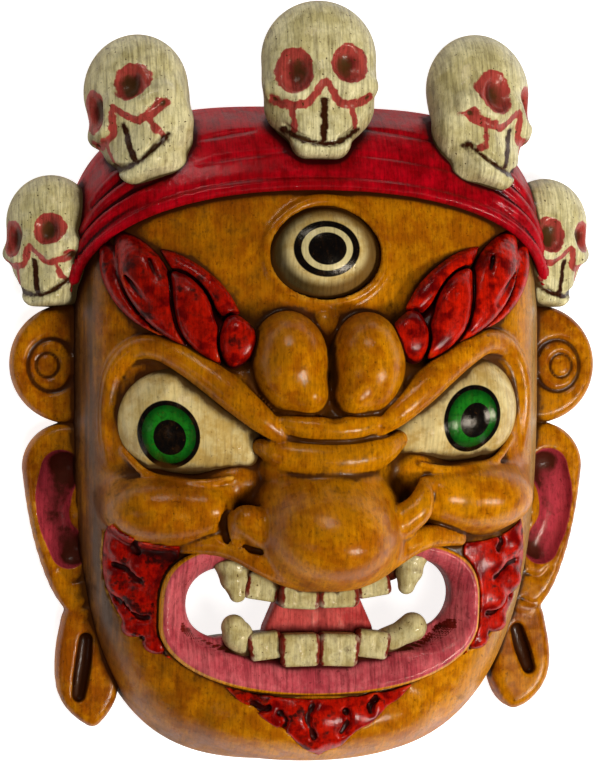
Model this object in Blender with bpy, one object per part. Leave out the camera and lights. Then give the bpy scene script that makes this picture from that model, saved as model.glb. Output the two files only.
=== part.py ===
"""Carved wooden dance mask with a wrathful face, solid form.

The whole object is one block of wood: the face shell, the headband, the five
skulls, the ears, the teeth and the tongue are carved together. It lies face
up. X is the wearer's side to side, Y runs from chin to crown and Z is the way
the face looks. Z = 0 is the flat back rim. Sizes are in millimetres until the
surface is turned into a mesh.
"""
import math

import bmesh
import bpy
import numpy as np

# Sizes of the face shell, in millimetres
HEAD_HALF_WIDTH = 118.0
HEAD_MIDDLE_Y = 20.0
HEAD_RISE = 114.0
HEAD_DROP = 209.0
HEAD_DEPTH = 74.0
TOP_ROUNDNESS = 3.6
JAW_ROUNDNESS = 2.9
FRONT_ROUNDNESS = 3.2
WALL = 15.0
FRONT_WALL = 19.0

# Sizes of the headband
BAND_PROUD = 4.5
BAND_LOW_Y = 44.0
BAND_ARCH = 50.0
BAND_HALF_WIDTH = 118.5
BAND_ARCH_ROUNDNESS = 2.15

# Skulls: x, y, z, turn to the right, lean to the right, tip back (degrees), size factor
SKULLS = ((2.0, 148.0, 61.0, -6.0, 0.0, 16.0, 1.02),
          (-87.5, 133.5, 48.0, -36.0, -20.0, 14.0, 1.03),
          (84.0, 134.5, 48.0, 40.0, 15.0, 14.0, 1.05),
          (-129.5, 71.0, 20.0, -30.0, -2.0, 4.0, 0.89),
          (122.0, 71.0, 20.0, 34.0, 6.0, 4.0, 0.89))

# Ears are plates at the back
EAR_THICKNESS = 24.0
EAR_DISC = (118.0, 9.5, 29.8)

# How far the right eye and cheek sit above the middle, and the left below
SIDE_DROP = 3.0

# Mouth
MOUTH_Y = -117.0
MOUTH_HALF_WIDTH = 72.0
MOUTH_HALF_HEIGHT = 29.0
LIP_RADIUS = 7.5

# From the middle of the face to the middle of the whole object
SHIFT_X = 1.6
SHIFT_Y = 2.4

# Fineness of the solid
GRID_STEP = 2.0
REMESH_STEP = 1.7
RIM_SNAP = 0.6
TRIANGLE_BUDGET = 9700
METRE = 0.001


def head_radius(x, y, grow=0.0):
    """Distance from the middle of the face outline, 1 on the outline."""
    across = np.abs(x) / (HEAD_HALF_WIDTH + grow)
    up = np.maximum(y - HEAD_MIDDLE_Y, 0.0) / (HEAD_RISE + grow)
    down = np.maximum(HEAD_MIDDLE_Y - y, 0.0) / (HEAD_DROP + grow)
    top = (across ** TOP_ROUNDNESS + up ** TOP_ROUNDNESS) ** (1.0 / TOP_ROUNDNESS)
    jaw = (across ** JAW_ROUNDNESS + down ** JAW_ROUNDNESS) ** (1.0 / JAW_ROUNDNESS)
    return np.where(y > HEAD_MIDDLE_Y, top, jaw)


def head_height(x, y):
    """Height of the plain face shell above the rim."""
    radius = float(head_radius(np.array(x), np.array(y)))
    inside = max(0.0, 1.0 - radius ** FRONT_ROUNDNESS)
    return HEAD_DEPTH * inside ** (1.0 / FRONT_ROUNDNESS)


def dome(grow, depth):
    """The rounded block of the head, grown outward and with its own depth."""
    def field(x, y, z):
        radius = head_radius(x, y, grow)
        power = radius ** FRONT_ROUNDNESS + (np.abs(z) / depth) ** FRONT_ROUNDNESS
        return (power ** (1.0 / FRONT_ROUNDNESS) - 1.0) * depth
    side = HEAD_HALF_WIDTH + grow
    low = (-side, HEAD_MIDDLE_Y - HEAD_DROP - grow, -depth)
    high = (side, HEAD_MIDDLE_Y + HEAD_RISE + grow, depth)
    return low, high, field


def turn(degrees_out, degrees_lean, degrees_back):
    """Rotation matrix for a skull: lean, then tip back, then turn outward."""
    out, lean, back = np.radians((degrees_out, degrees_lean, degrees_back))
    roll = np.array([[math.cos(lean), math.sin(lean), 0.0],
                     [-math.sin(lean), math.cos(lean), 0.0],
                     [0.0, 0.0, 1.0]])
    pitch = np.array([[1.0, 0.0, 0.0],
                      [0.0, math.cos(back), math.sin(back)],
                      [0.0, -math.sin(back), math.cos(back)]])
    yaw = np.array([[math.cos(out), 0.0, math.sin(out)],
                    [0.0, 1.0, 0.0],
                    [-math.sin(out), 0.0, math.cos(out)]])
    return yaw @ roll @ pitch


def ball(centre, radii, matrix=None):
    """An ellipsoid, turned by a rotation matrix if one is given."""
    radii = np.array(radii, float)
    reach = radii if matrix is None else np.full(3, radii.max())

    def field(x, y, z):
        u, v, w = x - centre[0], y - centre[1], z - centre[2]
        if matrix is not None:
            u, v, w = (matrix[0, i] * u + matrix[1, i] * v + matrix[2, i] * w for i in range(3))
        near = np.sqrt((u / radii[0]) ** 2 + (v / radii[1]) ** 2 + (w / radii[2]) ** 2)
        slope = np.sqrt((u / radii[0] ** 2) ** 2 + (v / radii[1] ** 2) ** 2 + (w / radii[2] ** 2) ** 2)
        return near * (near - 1.0) / np.maximum(slope, 1e-6)
    return np.array(centre) - reach, np.array(centre) + reach, field


def block(centre, half, rounding):
    """A box with rounded edges and corners."""
    centre = np.array(centre, float)
    half = np.array(half, float)

    def field(x, y, z):
        u = np.abs(x - centre[0]) - half[0] + rounding
        v = np.abs(y - centre[1]) - half[1] + rounding
        w = np.abs(z - centre[2]) - half[2] + rounding
        outside = np.sqrt(np.maximum(u, 0.0) ** 2 + np.maximum(v, 0.0) ** 2 + np.maximum(w, 0.0) ** 2)
        return outside + np.minimum(np.maximum(np.maximum(u, v), w), 0.0) - rounding
    return centre - half, centre + half, field


def roll_of(points):
    """A rounded roll through points given as x, y, z, radius."""
    points = np.array(points, float)
    low = (points[:, :3] - points[:, 3:]).min(axis=0)
    high = (points[:, :3] + points[:, 3:]).max(axis=0)

    def field(x, y, z):
        best = None
        for start, end in zip(points[:-1], points[1:]):
            step = end[:3] - start[:3]
            along = (x - start[0]) * step[0] + (y - start[1]) * step[1] + (z - start[2]) * step[2]
            share = np.clip(along / max(step @ step, 1e-6), 0.0, 1.0)
            gap = np.sqrt((x - start[0] - share * step[0]) ** 2
                          + (y - start[1] - share * step[1]) ** 2
                          + (z - start[2] - share * step[2]) ** 2)
            gap = gap - (start[3] + share * (end[3] - start[3]))
            best = gap if best is None else np.minimum(best, gap)
        return best
    return low, high, field


def plate_of(points, bottom, top, rounding):
    """A flat plate whose outline is a chain of circles x, y, radius."""
    flat = [(px, py, 0.0, pr) for px, py, pr in points]
    low, high, outline = roll_of(flat)
    middle = 0.5 * (bottom + top)
    half = 0.5 * (top - bottom) - rounding

    def field(x, y, z):
        across = outline(x, y, 0.0 * z) + rounding
        through = np.abs(z - middle) - half
        outside = np.sqrt(np.maximum(across, 0.0) ** 2 + np.maximum(through, 0.0) ** 2)
        return outside + np.minimum(np.maximum(across, through), 0.0) - rounding
    return (low[0], low[1], bottom), (high[0], high[1], top), field


class Clay:
    """A block of space that carved shapes are added to and cut from."""

    def __init__(self, low, high, step):
        counts = [int(round((b - a) / step)) + 1 for a, b in zip(low, high)]
        self.low = np.array(low, float)
        self.step = step
        self.axes = [a + step * np.arange(n) for a, n in zip(low, counts)]
        self.value = np.full(counts, 30.0, np.float32)

    def window(self, low, high, margin):
        """The part of the block around a shape, with its coordinates."""
        parts = []
        for i, axis in enumerate(self.axes):
            first = int(np.searchsorted(axis, low[i] - margin))
            last = int(np.searchsorted(axis, high[i] + margin))
            parts.append(slice(first, max(last, first)))
        x = self.axes[0][parts[0]][:, None, None]
        y = self.axes[1][parts[1]][None, :, None]
        z = self.axes[2][parts[2]][None, None, :]
        return tuple(parts), x, y, z

    def add(self, shape, soft=3.0):
        """Add a shape, with a soft seam of the given width."""
        low, high, field = shape
        parts, x, y, z = self.window(low, high, soft + 4.0 * self.step)
        here = self.value[parts]
        there = field(x, y, z)
        share = np.clip(0.5 + 0.5 * (here - there) / soft, 0.0, 1.0)
        self.value[parts] = here + (there - here) * share - soft * share * (1.0 - share)

    def cut(self, shape, soft=2.0):
        """Cut a shape away, with a soft edge of the given width."""
        low, high, field = shape
        parts, x, y, z = self.window(low, high, soft + 4.0 * self.step)
        here = self.value[parts]
        there = -field(x, y, z)
        share = np.clip(0.5 + 0.5 * (there - here) / soft, 0.0, 1.0)
        self.value[parts] = here + (there - here) * share + soft * share * (1.0 - share)


def mirrored(points, side):
    """Chain points moved to one side of the face."""
    return [(side * p[0],) + tuple(p[1:]) for p in points]


def band_edge(x):
    """Height of the lower edge of the headband across the forehead."""
    share = np.clip(np.abs(x) / BAND_HALF_WIDTH, 0.0, 1.0)
    return BAND_LOW_Y + BAND_ARCH * (1.0 - share ** BAND_ARCH_ROUNDNESS) ** (1.0 / BAND_ARCH_ROUNDNESS)


def headband():
    """The band: the head block grown a little and kept above its arched edge."""
    low, high, block = dome(BAND_PROUD, HEAD_DEPTH + BAND_PROUD)

    def field(x, y, z):
        return np.maximum(block(x, y, z), 0.8 * (band_edge(x) - y) + 0.0 * z)
    return (low[0], BAND_LOW_Y - 2.0, low[2]), high, field


def band_hem():
    """The rounded hem along the lower edge of the band."""
    hem = []
    for i in range(41):
        angle = math.pi * (i / 40.0 - 0.5)
        x = (BAND_HALF_WIDTH - 0.5) * math.sin(angle)
        y = float(band_edge(x)) + 2.0
        hem.append((x, y, head_height(x, y) + 1.5, 3.4))
    return roll_of(hem)


def add_skull(clay, place):
    """One skull with cranium, brow, cheeks, jaw and eye sockets."""
    x, y, z, out, lean, back, size = place
    matrix = turn(out, lean, back)
    centre = np.array((x, y, z))

    def at(local):
        return centre + matrix @ (size * np.array(local, float))

    def lump(local, radii, soft):
        clay.add(ball(at(local), size * np.array(radii), matrix), soft)

    def groove(points, radius):
        clay.cut(roll_of([tuple(at(point)) + (size * radius,) for point in points]), 1.0)

    lump((0.0, 9.0, -2.0), (26.5, 28.0, 21.0), 2.0)
    lump((0.0, -12.0, 1.0), (24.0, 17.0, 17.0), 6.0)
    lump((0.0, -25.0, 2.0), (18.5, 12.0, 16.0), 5.0)
    for eye in (-1, 1):
        socket = ball(at((eye * 13.0, 3.5, 18.5)), size * np.array((8.5, 7.5, 8.0)), matrix)
        clay.cut(socket, 2.0)
    lump((0.0, -5.0, 15.0), (4.5, 7.5, 6.5), 3.0)
    groove(((-21.0, -13.0, 9.0), (-9.0, -11.0, 17.0), (0.0, -6.0, 22.0),
            (9.0, -11.0, 17.0), (21.0, -13.0, 9.0)), 1.2)
    groove(((-15.0, -29.0, 12.0), (0.0, -31.0, 18.5), (15.0, -29.0, 12.0)), 1.3)


def add_ear(clay, side):
    """A plate ear: scroll disc, long shell with a hollow, and a slit lobe."""
    disc_x, disc_y, disc_r = EAR_DISC
    clay.add(plate_of([(side * disc_x, disc_y, disc_r), (side * 100.0, disc_y, disc_r)],
                      0.0, EAR_THICKNESS, 6.0), 2.0)
    shell = [(side * 119.5, -42.0, 22.0), (side * 117.0, -76.0, 19.0), (side * 112.0, -104.0, 14.0)]
    clay.add(plate_of(shell, 0.0, EAR_THICKNESS, 6.0), 2.0)
    lobe = [(side * 108.0, -131.0, 15.0), (side * 108.5, -155.0, 14.0)]
    clay.add(plate_of(lobe, 0.0, EAR_THICKNESS, 5.0), 2.0)
    hollow = [(side * 124.5, -44.0, EAR_THICKNESS + 2.0, 9.5),
              (side * 126.5, -60.0, EAR_THICKNESS + 2.0, 9.0),
              (side * 120.0, -82.0, EAR_THICKNESS + 2.0, 8.5)]
    clay.cut(roll_of(hollow), 2.0)
    clay.add(ball((side * 114.0, -63.0, 20.0), (5.0, 8.0, 7.0)), 2.0)
    slit = [(side * 110.5, -124.0, EAR_THICKNESS, 2.6), (side * 112.5, -138.0, EAR_THICKNESS, 4.0),
            (side * 115.0, -151.0, EAR_THICKNESS, 2.6)]
    clay.cut(roll_of(slit), 1.5)


def add_side_of_face(clay, side):
    """Eye, lids, brow, nostril and cheek of one side; left sits a little lower."""
    drop = side * SIDE_DROP
    clay.cut(ball((side * 66.0, -17.0 + drop, 80.0), (38.0, 32.0, 22.0)), 3.0)
    eye = [(68.0, -16.0 + drop, 53.5, 29.5), (42.0, -27.0 + drop, 69.0, 13.0)]
    clay.add(roll_of(mirrored(eye, side)), 2.0)
    clay.add(ball((side * 39.0, -1.0, 70.0), (17.0, 16.0, 17.0)), 4.0)
    lid = [(24.0, -25.0, 90.0, 5.0), (34.0, -16.0, 89.0, 5.5), (46.0, -5.0, 86.0, 5.5),
           (58.0, 4.5, 82.0, 5.5), (70.0, 12.5, 76.0, 5.5), (82.0, 18.5, 68.0, 5.5),
           (93.0, 16.0, 61.0, 5.5), (100.0, 5.0, 57.0, 5.0), (103.0, -9.0, 55.0, 5.0),
           (102.0, -30.0, 52.0, 5.0)]
    clay.add(roll_of(mirrored(lid, side)), 4.0)
    brow = [(42.0, 20.0, 77.0, 14.0), (57.0, 28.0, 73.0, 15.5), (74.0, 41.0, 67.0, 15.5),
            (89.0, 52.0, 58.0, 13.5), (101.0, 61.0, 54.0, 8.5), (108.0, 70.0 + drop, 51.0, 3.5)]
    clay.add(roll_of(mirrored(brow, side)), 1.5)
    lobes = [((42.0, 20.0, 80.0), (13.0, 16.0, 14.0)), ((58.0, 30.0, 77.0), (14.0, 18.0, 13.5)),
             ((75.0, 43.0, 70.0), (15.0, 18.0, 13.5)), ((91.0, 54.0, 61.0), (13.0, 16.0, 12.5))]
    for centre, radii in lobes:
        clay.add(ball((side * centre[0], centre[1] + 0.5 * drop, centre[2]), radii), 2.0)
    clay.add(ball((side * 20.0, 4.0, 80.0), (18.5, 26.0, 22.0)), 2.5)
    clay.add(ball((side * 39.0, -65.0 + drop, 80.0), (12.0, 15.0, 16.0)), 2.0)
    clay.add(ball((side * 72.0, -57.0 + drop, 60.0), (33.5, 19.5, 24.0)), 4.0)
    ridge = [(20.0, -98.0, 84.0, 6.0), (36.0, -87.0, 82.0, 6.5), (52.0, -79.0, 76.0, 6.0),
             (66.0, -82.0, 68.0, 4.0)]
    clay.add(roll_of(mirrored(ridge, side)), 4.0)


def add_nose(clay):
    """Bridge, two folds across it and the heavy round tip."""
    clay.add(ball((0.0, -48.0, 76.0), (32.0, 34.0, 25.0)), 6.0)
    for y, radius, height in ((-28.5, 6.5, 92.0), (-41.5, 8.0, 95.0)):
        fold = [(-44.0, y + 10.0, 80.0, radius - 2.0), (-26.0, y, 89.0, radius), (0.0, y, height, radius),
                (26.0, y, 89.0, radius), (44.0, y + 10.0, 80.0, radius - 2.0)]
        clay.add(roll_of(fold), 2.0)
    clay.add(ball((0.0, -70.0, 88.0), (34.5, 23.0, 31.0)), 3.0)
    clay.add(ball((0.0, -82.0, 93.0), (24.0, 15.0, 29.0)), 6.0)


def add_third_eye(clay):
    """Almond rim on the forehead, pointed at the top, with the eyeball inside it."""
    clay.cut(ball((2.5, 63.0, 80.0), (26.0, 22.0, 9.0)), 2.0)
    clay.add(ball((2.5, 62.0, 62.0), (23.0, 18.5, 18.0)), 1.5)
    rim = []
    for i in range(33):
        angle = 2.0 * math.pi * i / 32.0
        x = 2.5 + 28.0 * math.cos(angle)
        y = 62.0 + 21.0 * math.sin(angle) + 6.0 * max(0.0, math.sin(angle)) ** 4
        rim.append((x, y, head_height(x, y) + 0.5, 3.4))
    clay.add(roll_of(rim), 2.5)


def lip_loop():
    """Closed chain of points along the middle of the lips."""
    points = []
    for i in range(33):
        angle = 2.0 * math.pi * i / 32.0
        across, up = math.cos(angle), math.sin(angle)
        x = MOUTH_HALF_WIDTH * math.copysign(abs(across) ** 0.85, across)
        y = MOUTH_Y + MOUTH_HALF_HEIGHT * math.copysign(abs(up) ** 0.85, up)
        points.append((x, y, head_height(x, y) + 1.0, LIP_RADIUS))
    return points


def add_mouth(clay):
    """Open mouth: lips, funnel, teeth and tongue, with a gap to each side."""
    clay.add(roll_of(lip_loop()), 4.0)
    clay.cut(ball((0.0, -112.0, 76.0), (68.0, 26.0, 34.0)), 3.0)
    for side in (-1, 1):
        gap = [(side * 26.0, -111.0, 11.0), (side * 40.0, -107.5, 15.0), (side * 50.0, -105.5, 16.0)]
        clay.cut(plate_of(gap, -20.0, 140.0, 1.0), 2.0)
    clay.add(ball((0.0, -117.0, 46.0), (25.0, 15.0, 15.0)), 3.0)
    clay.add(roll_of([(-36.0, -138.0, 50.0, 8.0), (36.0, -138.0, 50.0, 8.0)]), 4.0)
    for side in (-1, 1):
        fang = [(43.0, -84.0, 60.0, 8.0), (42.0, -94.0, 65.0, 6.0), (41.5, -99.0, 67.0, 4.0)]
        clay.add(roll_of(mirrored(fang, side)), 1.5)
        tusk = [(41.0, -132.0, 58.0, 8.5), (42.0, -121.0, 63.0, 7.0)]
        clay.add(roll_of(mirrored(tusk, side)), 1.5)
        for x, half_width in ((9.0, 8.6), (26.5, 7.4)):
            clay.add(block((side * x, -96.0, 62.0), (half_width, 11.0, 8.0), 3.5), 1.0)
            clay.add(block((side * x, -129.0, 60.0), (half_width, 8.5, 7.5), 3.5), 1.0)


def carve():
    """All the carving of the mask in one block."""
    clay = Clay((-160.0, -200.0, -8.0), (160.0, 196.0, 132.0), GRID_STEP)
    clay.add(dome(0.0, HEAD_DEPTH), 1.0)
    clay.add(ball((0.0, -163.0, 38.0), (58.0, 22.0, 30.0)), 8.0)
    clay.add(headband(), 1.5)
    clay.add(band_hem(), 2.0)
    for side in (-1, 1):
        add_ear(clay, side)
        add_side_of_face(clay, side)
    add_nose(clay)
    add_third_eye(clay)
    clay.cut(dome(-WALL, HEAD_DEPTH - FRONT_WALL), 4.0)
    clay.cut(ball((0.0, -55.0, 52.0), (24.0, 38.0, 40.0)), 8.0)
    clay.add(ball((0.0, -88.0, 74.0), (42.0, 12.0, 14.0)), 4.0)
    add_mouth(clay)
    for place in SKULLS:
        add_skull(clay, place)
    below = clay.axes[2][None, None, :]
    clay.value = np.maximum(clay.value, -below.astype(np.float32))
    return clay


def surface(clay, name):
    """Mesh of the block's surface, in metres: one point in each crossed cell."""
    value = clay.value
    inside = value < 0.0
    corner = [(a, b, c) for a in (0, 1) for b in (0, 1) for c in (0, 1)]
    counts = [n - 1 for n in value.shape]
    filled = sum(inside[a:a + counts[0], b:b + counts[1], c:c + counts[2]].astype(np.int8)
                 for a, b, c in corner)
    cells = np.argwhere((filled > 0) & (filled < 8))
    number = np.full(counts, -1, np.int32)
    number[cells[:, 0], cells[:, 1], cells[:, 2]] = np.arange(len(cells))
    total = np.zeros((len(cells), 3))
    crossings = np.zeros((len(cells), 1))
    for axis in range(3):
        for start in (c for c in corner if c[axis] == 0):
            first = cells + np.array(start)
            last = first.copy()
            last[:, axis] += 1
            one = value[first[:, 0], first[:, 1], first[:, 2]].astype(float)
            two = value[last[:, 0], last[:, 1], last[:, 2]].astype(float)
            crossed = (one < 0.0) != (two < 0.0)
            spot = first.astype(float)
            spot[:, axis] += np.where(crossed, one / np.where(crossed, one - two, 1.0), 0.0)
            total += np.where(crossed[:, None], spot, 0.0)
            crossings[:, 0] += crossed
    points = (total / crossings * clay.step + clay.low) * METRE
    faces = []
    for axis in range(3):
        side, other = [(1, 2), (2, 0), (0, 1)][axis]
        ahead = np.moveaxis(inside, axis, 0)
        edges = np.argwhere(np.moveaxis(ahead[1:] != ahead[:-1], 0, axis))
        ring = []
        for back_side, back_other in ((1, 1), (0, 1), (0, 0), (1, 0)):
            cell = edges.copy()
            cell[:, side] -= back_side
            cell[:, other] -= back_other
            ring.append(number[cell[:, 0], cell[:, 1], cell[:, 2]])
        ring = np.stack(ring, axis=1)
        outward = inside[edges[:, 0], edges[:, 1], edges[:, 2]]
        faces.append(np.where(outward[:, None], ring, ring[:, ::-1]))
    mesh = bpy.data.meshes.new(name)
    mesh.from_pydata(points.tolist(), [], np.concatenate(faces).tolist())
    mesh.validate()
    mesh.update()
    return mesh


def simplify(mask):
    """Close the surface evenly, then thin it where it is nearly flat."""
    even = mask.modifiers.new("Even", "REMESH")
    even.mode = "VOXEL"
    even.voxel_size = REMESH_STEP * METRE
    thin = mask.modifiers.new("Thin", "DECIMATE")
    thin.use_collapse_triangulate = True
    thin.ratio = 0.1
    for _ in range(3):
        shown = mask.evaluated_get(bpy.context.evaluated_depsgraph_get())
        thin.ratio *= TRIANGLE_BUDGET / len(shown.data.polygons)
    shown = mask.evaluated_get(bpy.context.evaluated_depsgraph_get())
    mesh = bpy.data.meshes.new_from_object(shown)
    mask.modifiers.clear()
    mask.data = mesh
    shape = bmesh.new()
    shape.from_mesh(mesh)
    for vertex in shape.verts:
        if vertex.co.z < RIM_SNAP * METRE:
            vertex.co.z = 0.0
    bmesh.ops.dissolve_degenerate(shape, dist=0.00005, edges=shape.edges)
    bmesh.ops.triangulate(shape, faces=shape.faces)
    bmesh.ops.translate(shape, verts=shape.verts, vec=(SHIFT_X * METRE, SHIFT_Y * METRE, 0.0))
    shape.to_mesh(mesh)
    shape.free()


def paint(mask):
    """Varnished ochre paint, the colour of most of the mask."""
    ochre = bpy.data.materials.new("painted_wood")
    ochre.use_nodes = True
    shader = ochre.node_tree.nodes["Principled BSDF"]
    shader.inputs["Base Color"].default_value = (0.52, 0.24, 0.03, 1.0)
    shader.inputs["Roughness"].default_value = 0.35
    shader.inputs["Metallic"].default_value = 0.0
    mask.data.materials.clear()
    mask.data.materials.append(ochre)


def main():
    for old in list(bpy.data.objects):
        bpy.data.objects.remove(old, do_unlink=True)
    mask = bpy.data.objects.new("carved_mask", surface(carve(), "carved_mask"))
    bpy.context.scene.collection.objects.link(mask)
    simplify(mask)
    paint(mask)
    mask.data.shade_smooth()


main()
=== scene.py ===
# %% [markdown]
# # A carved and painted dance mask
# The real object is one block of soft wood, hollowed from behind, carved into a wrathful
# face and painted in oil colours under amber varnish. This lesson carves it again with
# signed distances: every form is a small function that says how far a point is from its
# surface, and forms are added to or cut from a block of "clay". It starts with the
# measured frame, because every piece has to stay on it.

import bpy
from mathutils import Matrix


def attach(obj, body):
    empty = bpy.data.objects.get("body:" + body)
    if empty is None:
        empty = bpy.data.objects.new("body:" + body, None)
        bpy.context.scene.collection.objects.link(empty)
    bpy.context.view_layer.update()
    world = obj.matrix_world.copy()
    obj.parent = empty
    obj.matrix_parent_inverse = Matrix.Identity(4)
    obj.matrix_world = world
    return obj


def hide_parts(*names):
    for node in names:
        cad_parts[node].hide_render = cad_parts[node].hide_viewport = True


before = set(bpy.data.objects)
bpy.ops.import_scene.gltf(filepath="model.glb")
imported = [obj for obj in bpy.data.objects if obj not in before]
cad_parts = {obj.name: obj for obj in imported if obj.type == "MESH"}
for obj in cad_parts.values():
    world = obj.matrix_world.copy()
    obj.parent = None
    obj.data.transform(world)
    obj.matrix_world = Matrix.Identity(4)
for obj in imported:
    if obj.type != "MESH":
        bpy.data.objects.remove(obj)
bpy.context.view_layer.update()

# %% Tools and units
import math

import bpy
import numpy as np
from mathutils import Matrix, Vector

METRE = 0.001
SHIFT = np.array((1.6, 2.4, 0.0))

# %% [markdown]
# ## Camera, floor and light
# The photograph looks at the face from about nine degrees to its left side, so with the
# mask lying on its back the camera hangs above it and looks down. The photograph is a
# cut-out on pure white: a pale floor that glows by itself gives that white, also behind
# the gaps of the mouth. Four soft panels light the carving, three of them strong enough
# to leave small highlights in the varnish; the one beside the camera is kept out of
# reflections, or it would veil the face. The view transform is Standard, because the
# default one is made for scenes with bright skies and would turn white to grey and the
# reds dull.

# %% Camera
VIEW_TURN = math.radians(9.0)
VIEW_DISTANCE = 1400.0
VIEW_TARGET = (-8.2 + SHIFT[0], 0.0 + SHIFT[1], 50.0)
LENS = 134.4
SENSOR_WIDTH = 36.0


def place_camera():
    """Camera at the photograph's viewing angle, with the crown of the mask at the top."""
    back = Vector((-math.sin(VIEW_TURN), 0.0, math.cos(VIEW_TURN)))
    right = Vector((math.cos(VIEW_TURN), 0.0, math.sin(VIEW_TURN)))
    up = Vector((0.0, 1.0, 0.0))
    spot = (Vector(VIEW_TARGET) + back * VIEW_DISTANCE) * METRE
    camera = bpy.data.objects.new("photo_camera", bpy.data.cameras.new("photo_camera"))
    camera.data.lens = LENS
    camera.data.sensor_width = SENSOR_WIDTH
    camera.matrix_world = Matrix(((right.x, up.x, back.x, spot.x), (right.y, up.y, back.y, spot.y),
                                  (right.z, up.z, back.z, spot.z), (0.0, 0.0, 0.0, 1.0)))
    bpy.context.scene.collection.objects.link(camera)
    bpy.context.scene.camera = camera
    bpy.context.scene.view_settings.view_transform = "Standard"
    return camera


print("camera at", [round(v, 3) for v in place_camera().location])

# %% Floor and light
AIM = (0.0, 0.0, 0.05)
ROOM_GLOW = 0.08
FLOOR_HALF = 6.0
FLOOR_GLOW = 0.86
LIGHTS = (("key_panel", (0.78, -0.50, 1.15), 0.26, 16.5, (1.0, 0.98, 0.94)),
          ("front_panel", (0.12, -0.28, 1.55), 0.34, 8.0, (1.0, 0.99, 0.96)),
          ("crown_panel", (-0.35, 1.20, 1.0), 0.3, 5.0, (1.0, 0.98, 0.95)),
          ("left_panel", (-1.25, -0.35, 0.9), 0.3, 0.6, (0.97, 0.98, 1.0)))


def light_studio():
    """Soft panels aimed at the face, and a faint even glow from the room around them."""
    for name, spot, size, power, colour in LIGHTS:
        lamp = bpy.data.lights.new(name, "AREA")
        lamp.shape = "SQUARE"
        lamp.size = size
        lamp.energy = power
        lamp.color = colour
        panel = bpy.data.objects.new(name, lamp)
        panel.location = spot
        panel.rotation_euler = (Vector(spot) - Vector(AIM)).to_track_quat("Z", "Y").to_euler()
        panel.visible_glossy = name != "front_panel"
        bpy.context.scene.collection.objects.link(panel)
    room = bpy.data.worlds.new("pale_room")
    room.use_nodes = True
    sky = room.node_tree.nodes["Background"]
    sky.inputs["Color"].default_value = (1.0, 1.0, 1.0, 1.0)
    sky.inputs["Strength"].default_value = ROOM_GLOW
    bpy.context.scene.world = room


def lay_floor():
    """A plain pale floor under the rim."""
    mesh = bpy.data.meshes.new("floor")
    corners = [(x * FLOOR_HALF, y * FLOOR_HALF, 0.0) for x, y in ((-1, -1), (1, -1), (1, 1), (-1, 1))]
    mesh.from_pydata(corners, [], [(0, 1, 2, 3)])
    floor = bpy.data.objects.new("floor", mesh)
    bpy.context.scene.collection.objects.link(floor)
    pale = bpy.data.materials.new("pale_floor")
    pale.use_nodes = True
    shader = pale.node_tree.nodes["Principled BSDF"]
    shader.inputs["Base Color"].default_value = (0.72, 0.72, 0.71, 1.0)
    shader.inputs["Roughness"].default_value = 1.0
    shader.inputs["Specular IOR Level"].default_value = 0.0
    shader.inputs["Emission Color"].default_value = (1.0, 1.0, 1.0, 1.0)
    shader.inputs["Emission Strength"].default_value = FLOOR_GLOW
    mesh.materials.append(pale)


light_studio()
lay_floor()
print("lights", len(LIGHTS))

# %% [markdown]
# ## Clay
# A block of clay is a grid of numbers: how far each point is from the surface, less than
# zero inside. Adding a form keeps the smaller number, cutting one keeps the larger, and a
# soft step between them rounds the seam as a carver's gouge does. Only the part of the
# grid around a form is touched, which keeps the work to a few seconds.

# %% The block of clay
class Clay:
    """A block of space that carved forms are added to and cut from, in millimetres."""

    def __init__(self, low, high, step):
        counts = [int(round((b - a) / step)) + 1 for a, b in zip(low, high)]
        self.low = np.array(low, float)
        self.step = step
        self.axes = [(a + step * np.arange(n)).astype(np.float32) for a, n in zip(low, counts)]
        self.value = np.full(counts, 30.0, np.float32)

    def window(self, low, high, margin):
        """The part of the block around a form, with its coordinates."""
        parts = []
        for i, axis in enumerate(self.axes):
            first = int(np.searchsorted(axis, low[i] - margin))
            parts.append(slice(first, max(int(np.searchsorted(axis, high[i] + margin)), first)))
        return (tuple(parts), self.axes[0][parts[0]][:, None, None], self.axes[1][parts[1]][None, :, None],
                self.axes[2][parts[2]][None, None, :])

    def add(self, form, soft=2.0):
        """Add a form, with a rounded seam of the given width."""
        low, high, field = form
        parts, x, y, z = self.window(low, high, soft + 4.0 * self.step)
        here = self.value[parts]
        there = field(x, y, z)
        share = np.clip(0.5 + 0.5 * (here - there) / soft, 0.0, 1.0)
        self.value[parts] = here + (there - here) * share - soft * share * (1.0 - share)

    def cut(self, form, soft=1.0):
        """Cut a form away, with a rounded edge of the given width."""
        low, high, field = form
        parts, x, y, z = self.window(low, high, soft + 4.0 * self.step)
        here = self.value[parts]
        there = -field(x, y, z)
        share = np.clip(0.5 + 0.5 * (there - here) / soft, 0.0, 1.0)
        self.value[parts] = here + (there - here) * share + soft * share * (1.0 - share)

    def sample(self, points):
        """The block's value at points, read between its grid points."""
        spot = (points - self.low) / self.step
        cell = np.clip(np.floor(spot).astype(int), 0, np.array(self.value.shape) - 2)
        part = np.clip(spot - cell, 0.0, 1.0)
        total = np.zeros(len(points))
        for corner in range(8):
            pick = np.array([(corner >> i) & 1 for i in range(3)])
            weight = np.prod(np.where(pick, part, 1.0 - part), axis=1)
            at = cell + pick
            total += weight * self.value[at[:, 0], at[:, 1], at[:, 2]]
        return total

    def flatten_back(self):
        """Cut everything below the flat rim away."""
        self.value = np.maximum(self.value, -self.axes[2][None, None, :])


# %% [markdown]
# ## Forms
# Five kinds of form are enough for the whole face: a ball (stretched and turned), a block
# with rounded edges, a roll that follows a chain of points, a flat plate with the outline
# of such a chain, and the rounded dome of the head.

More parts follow.
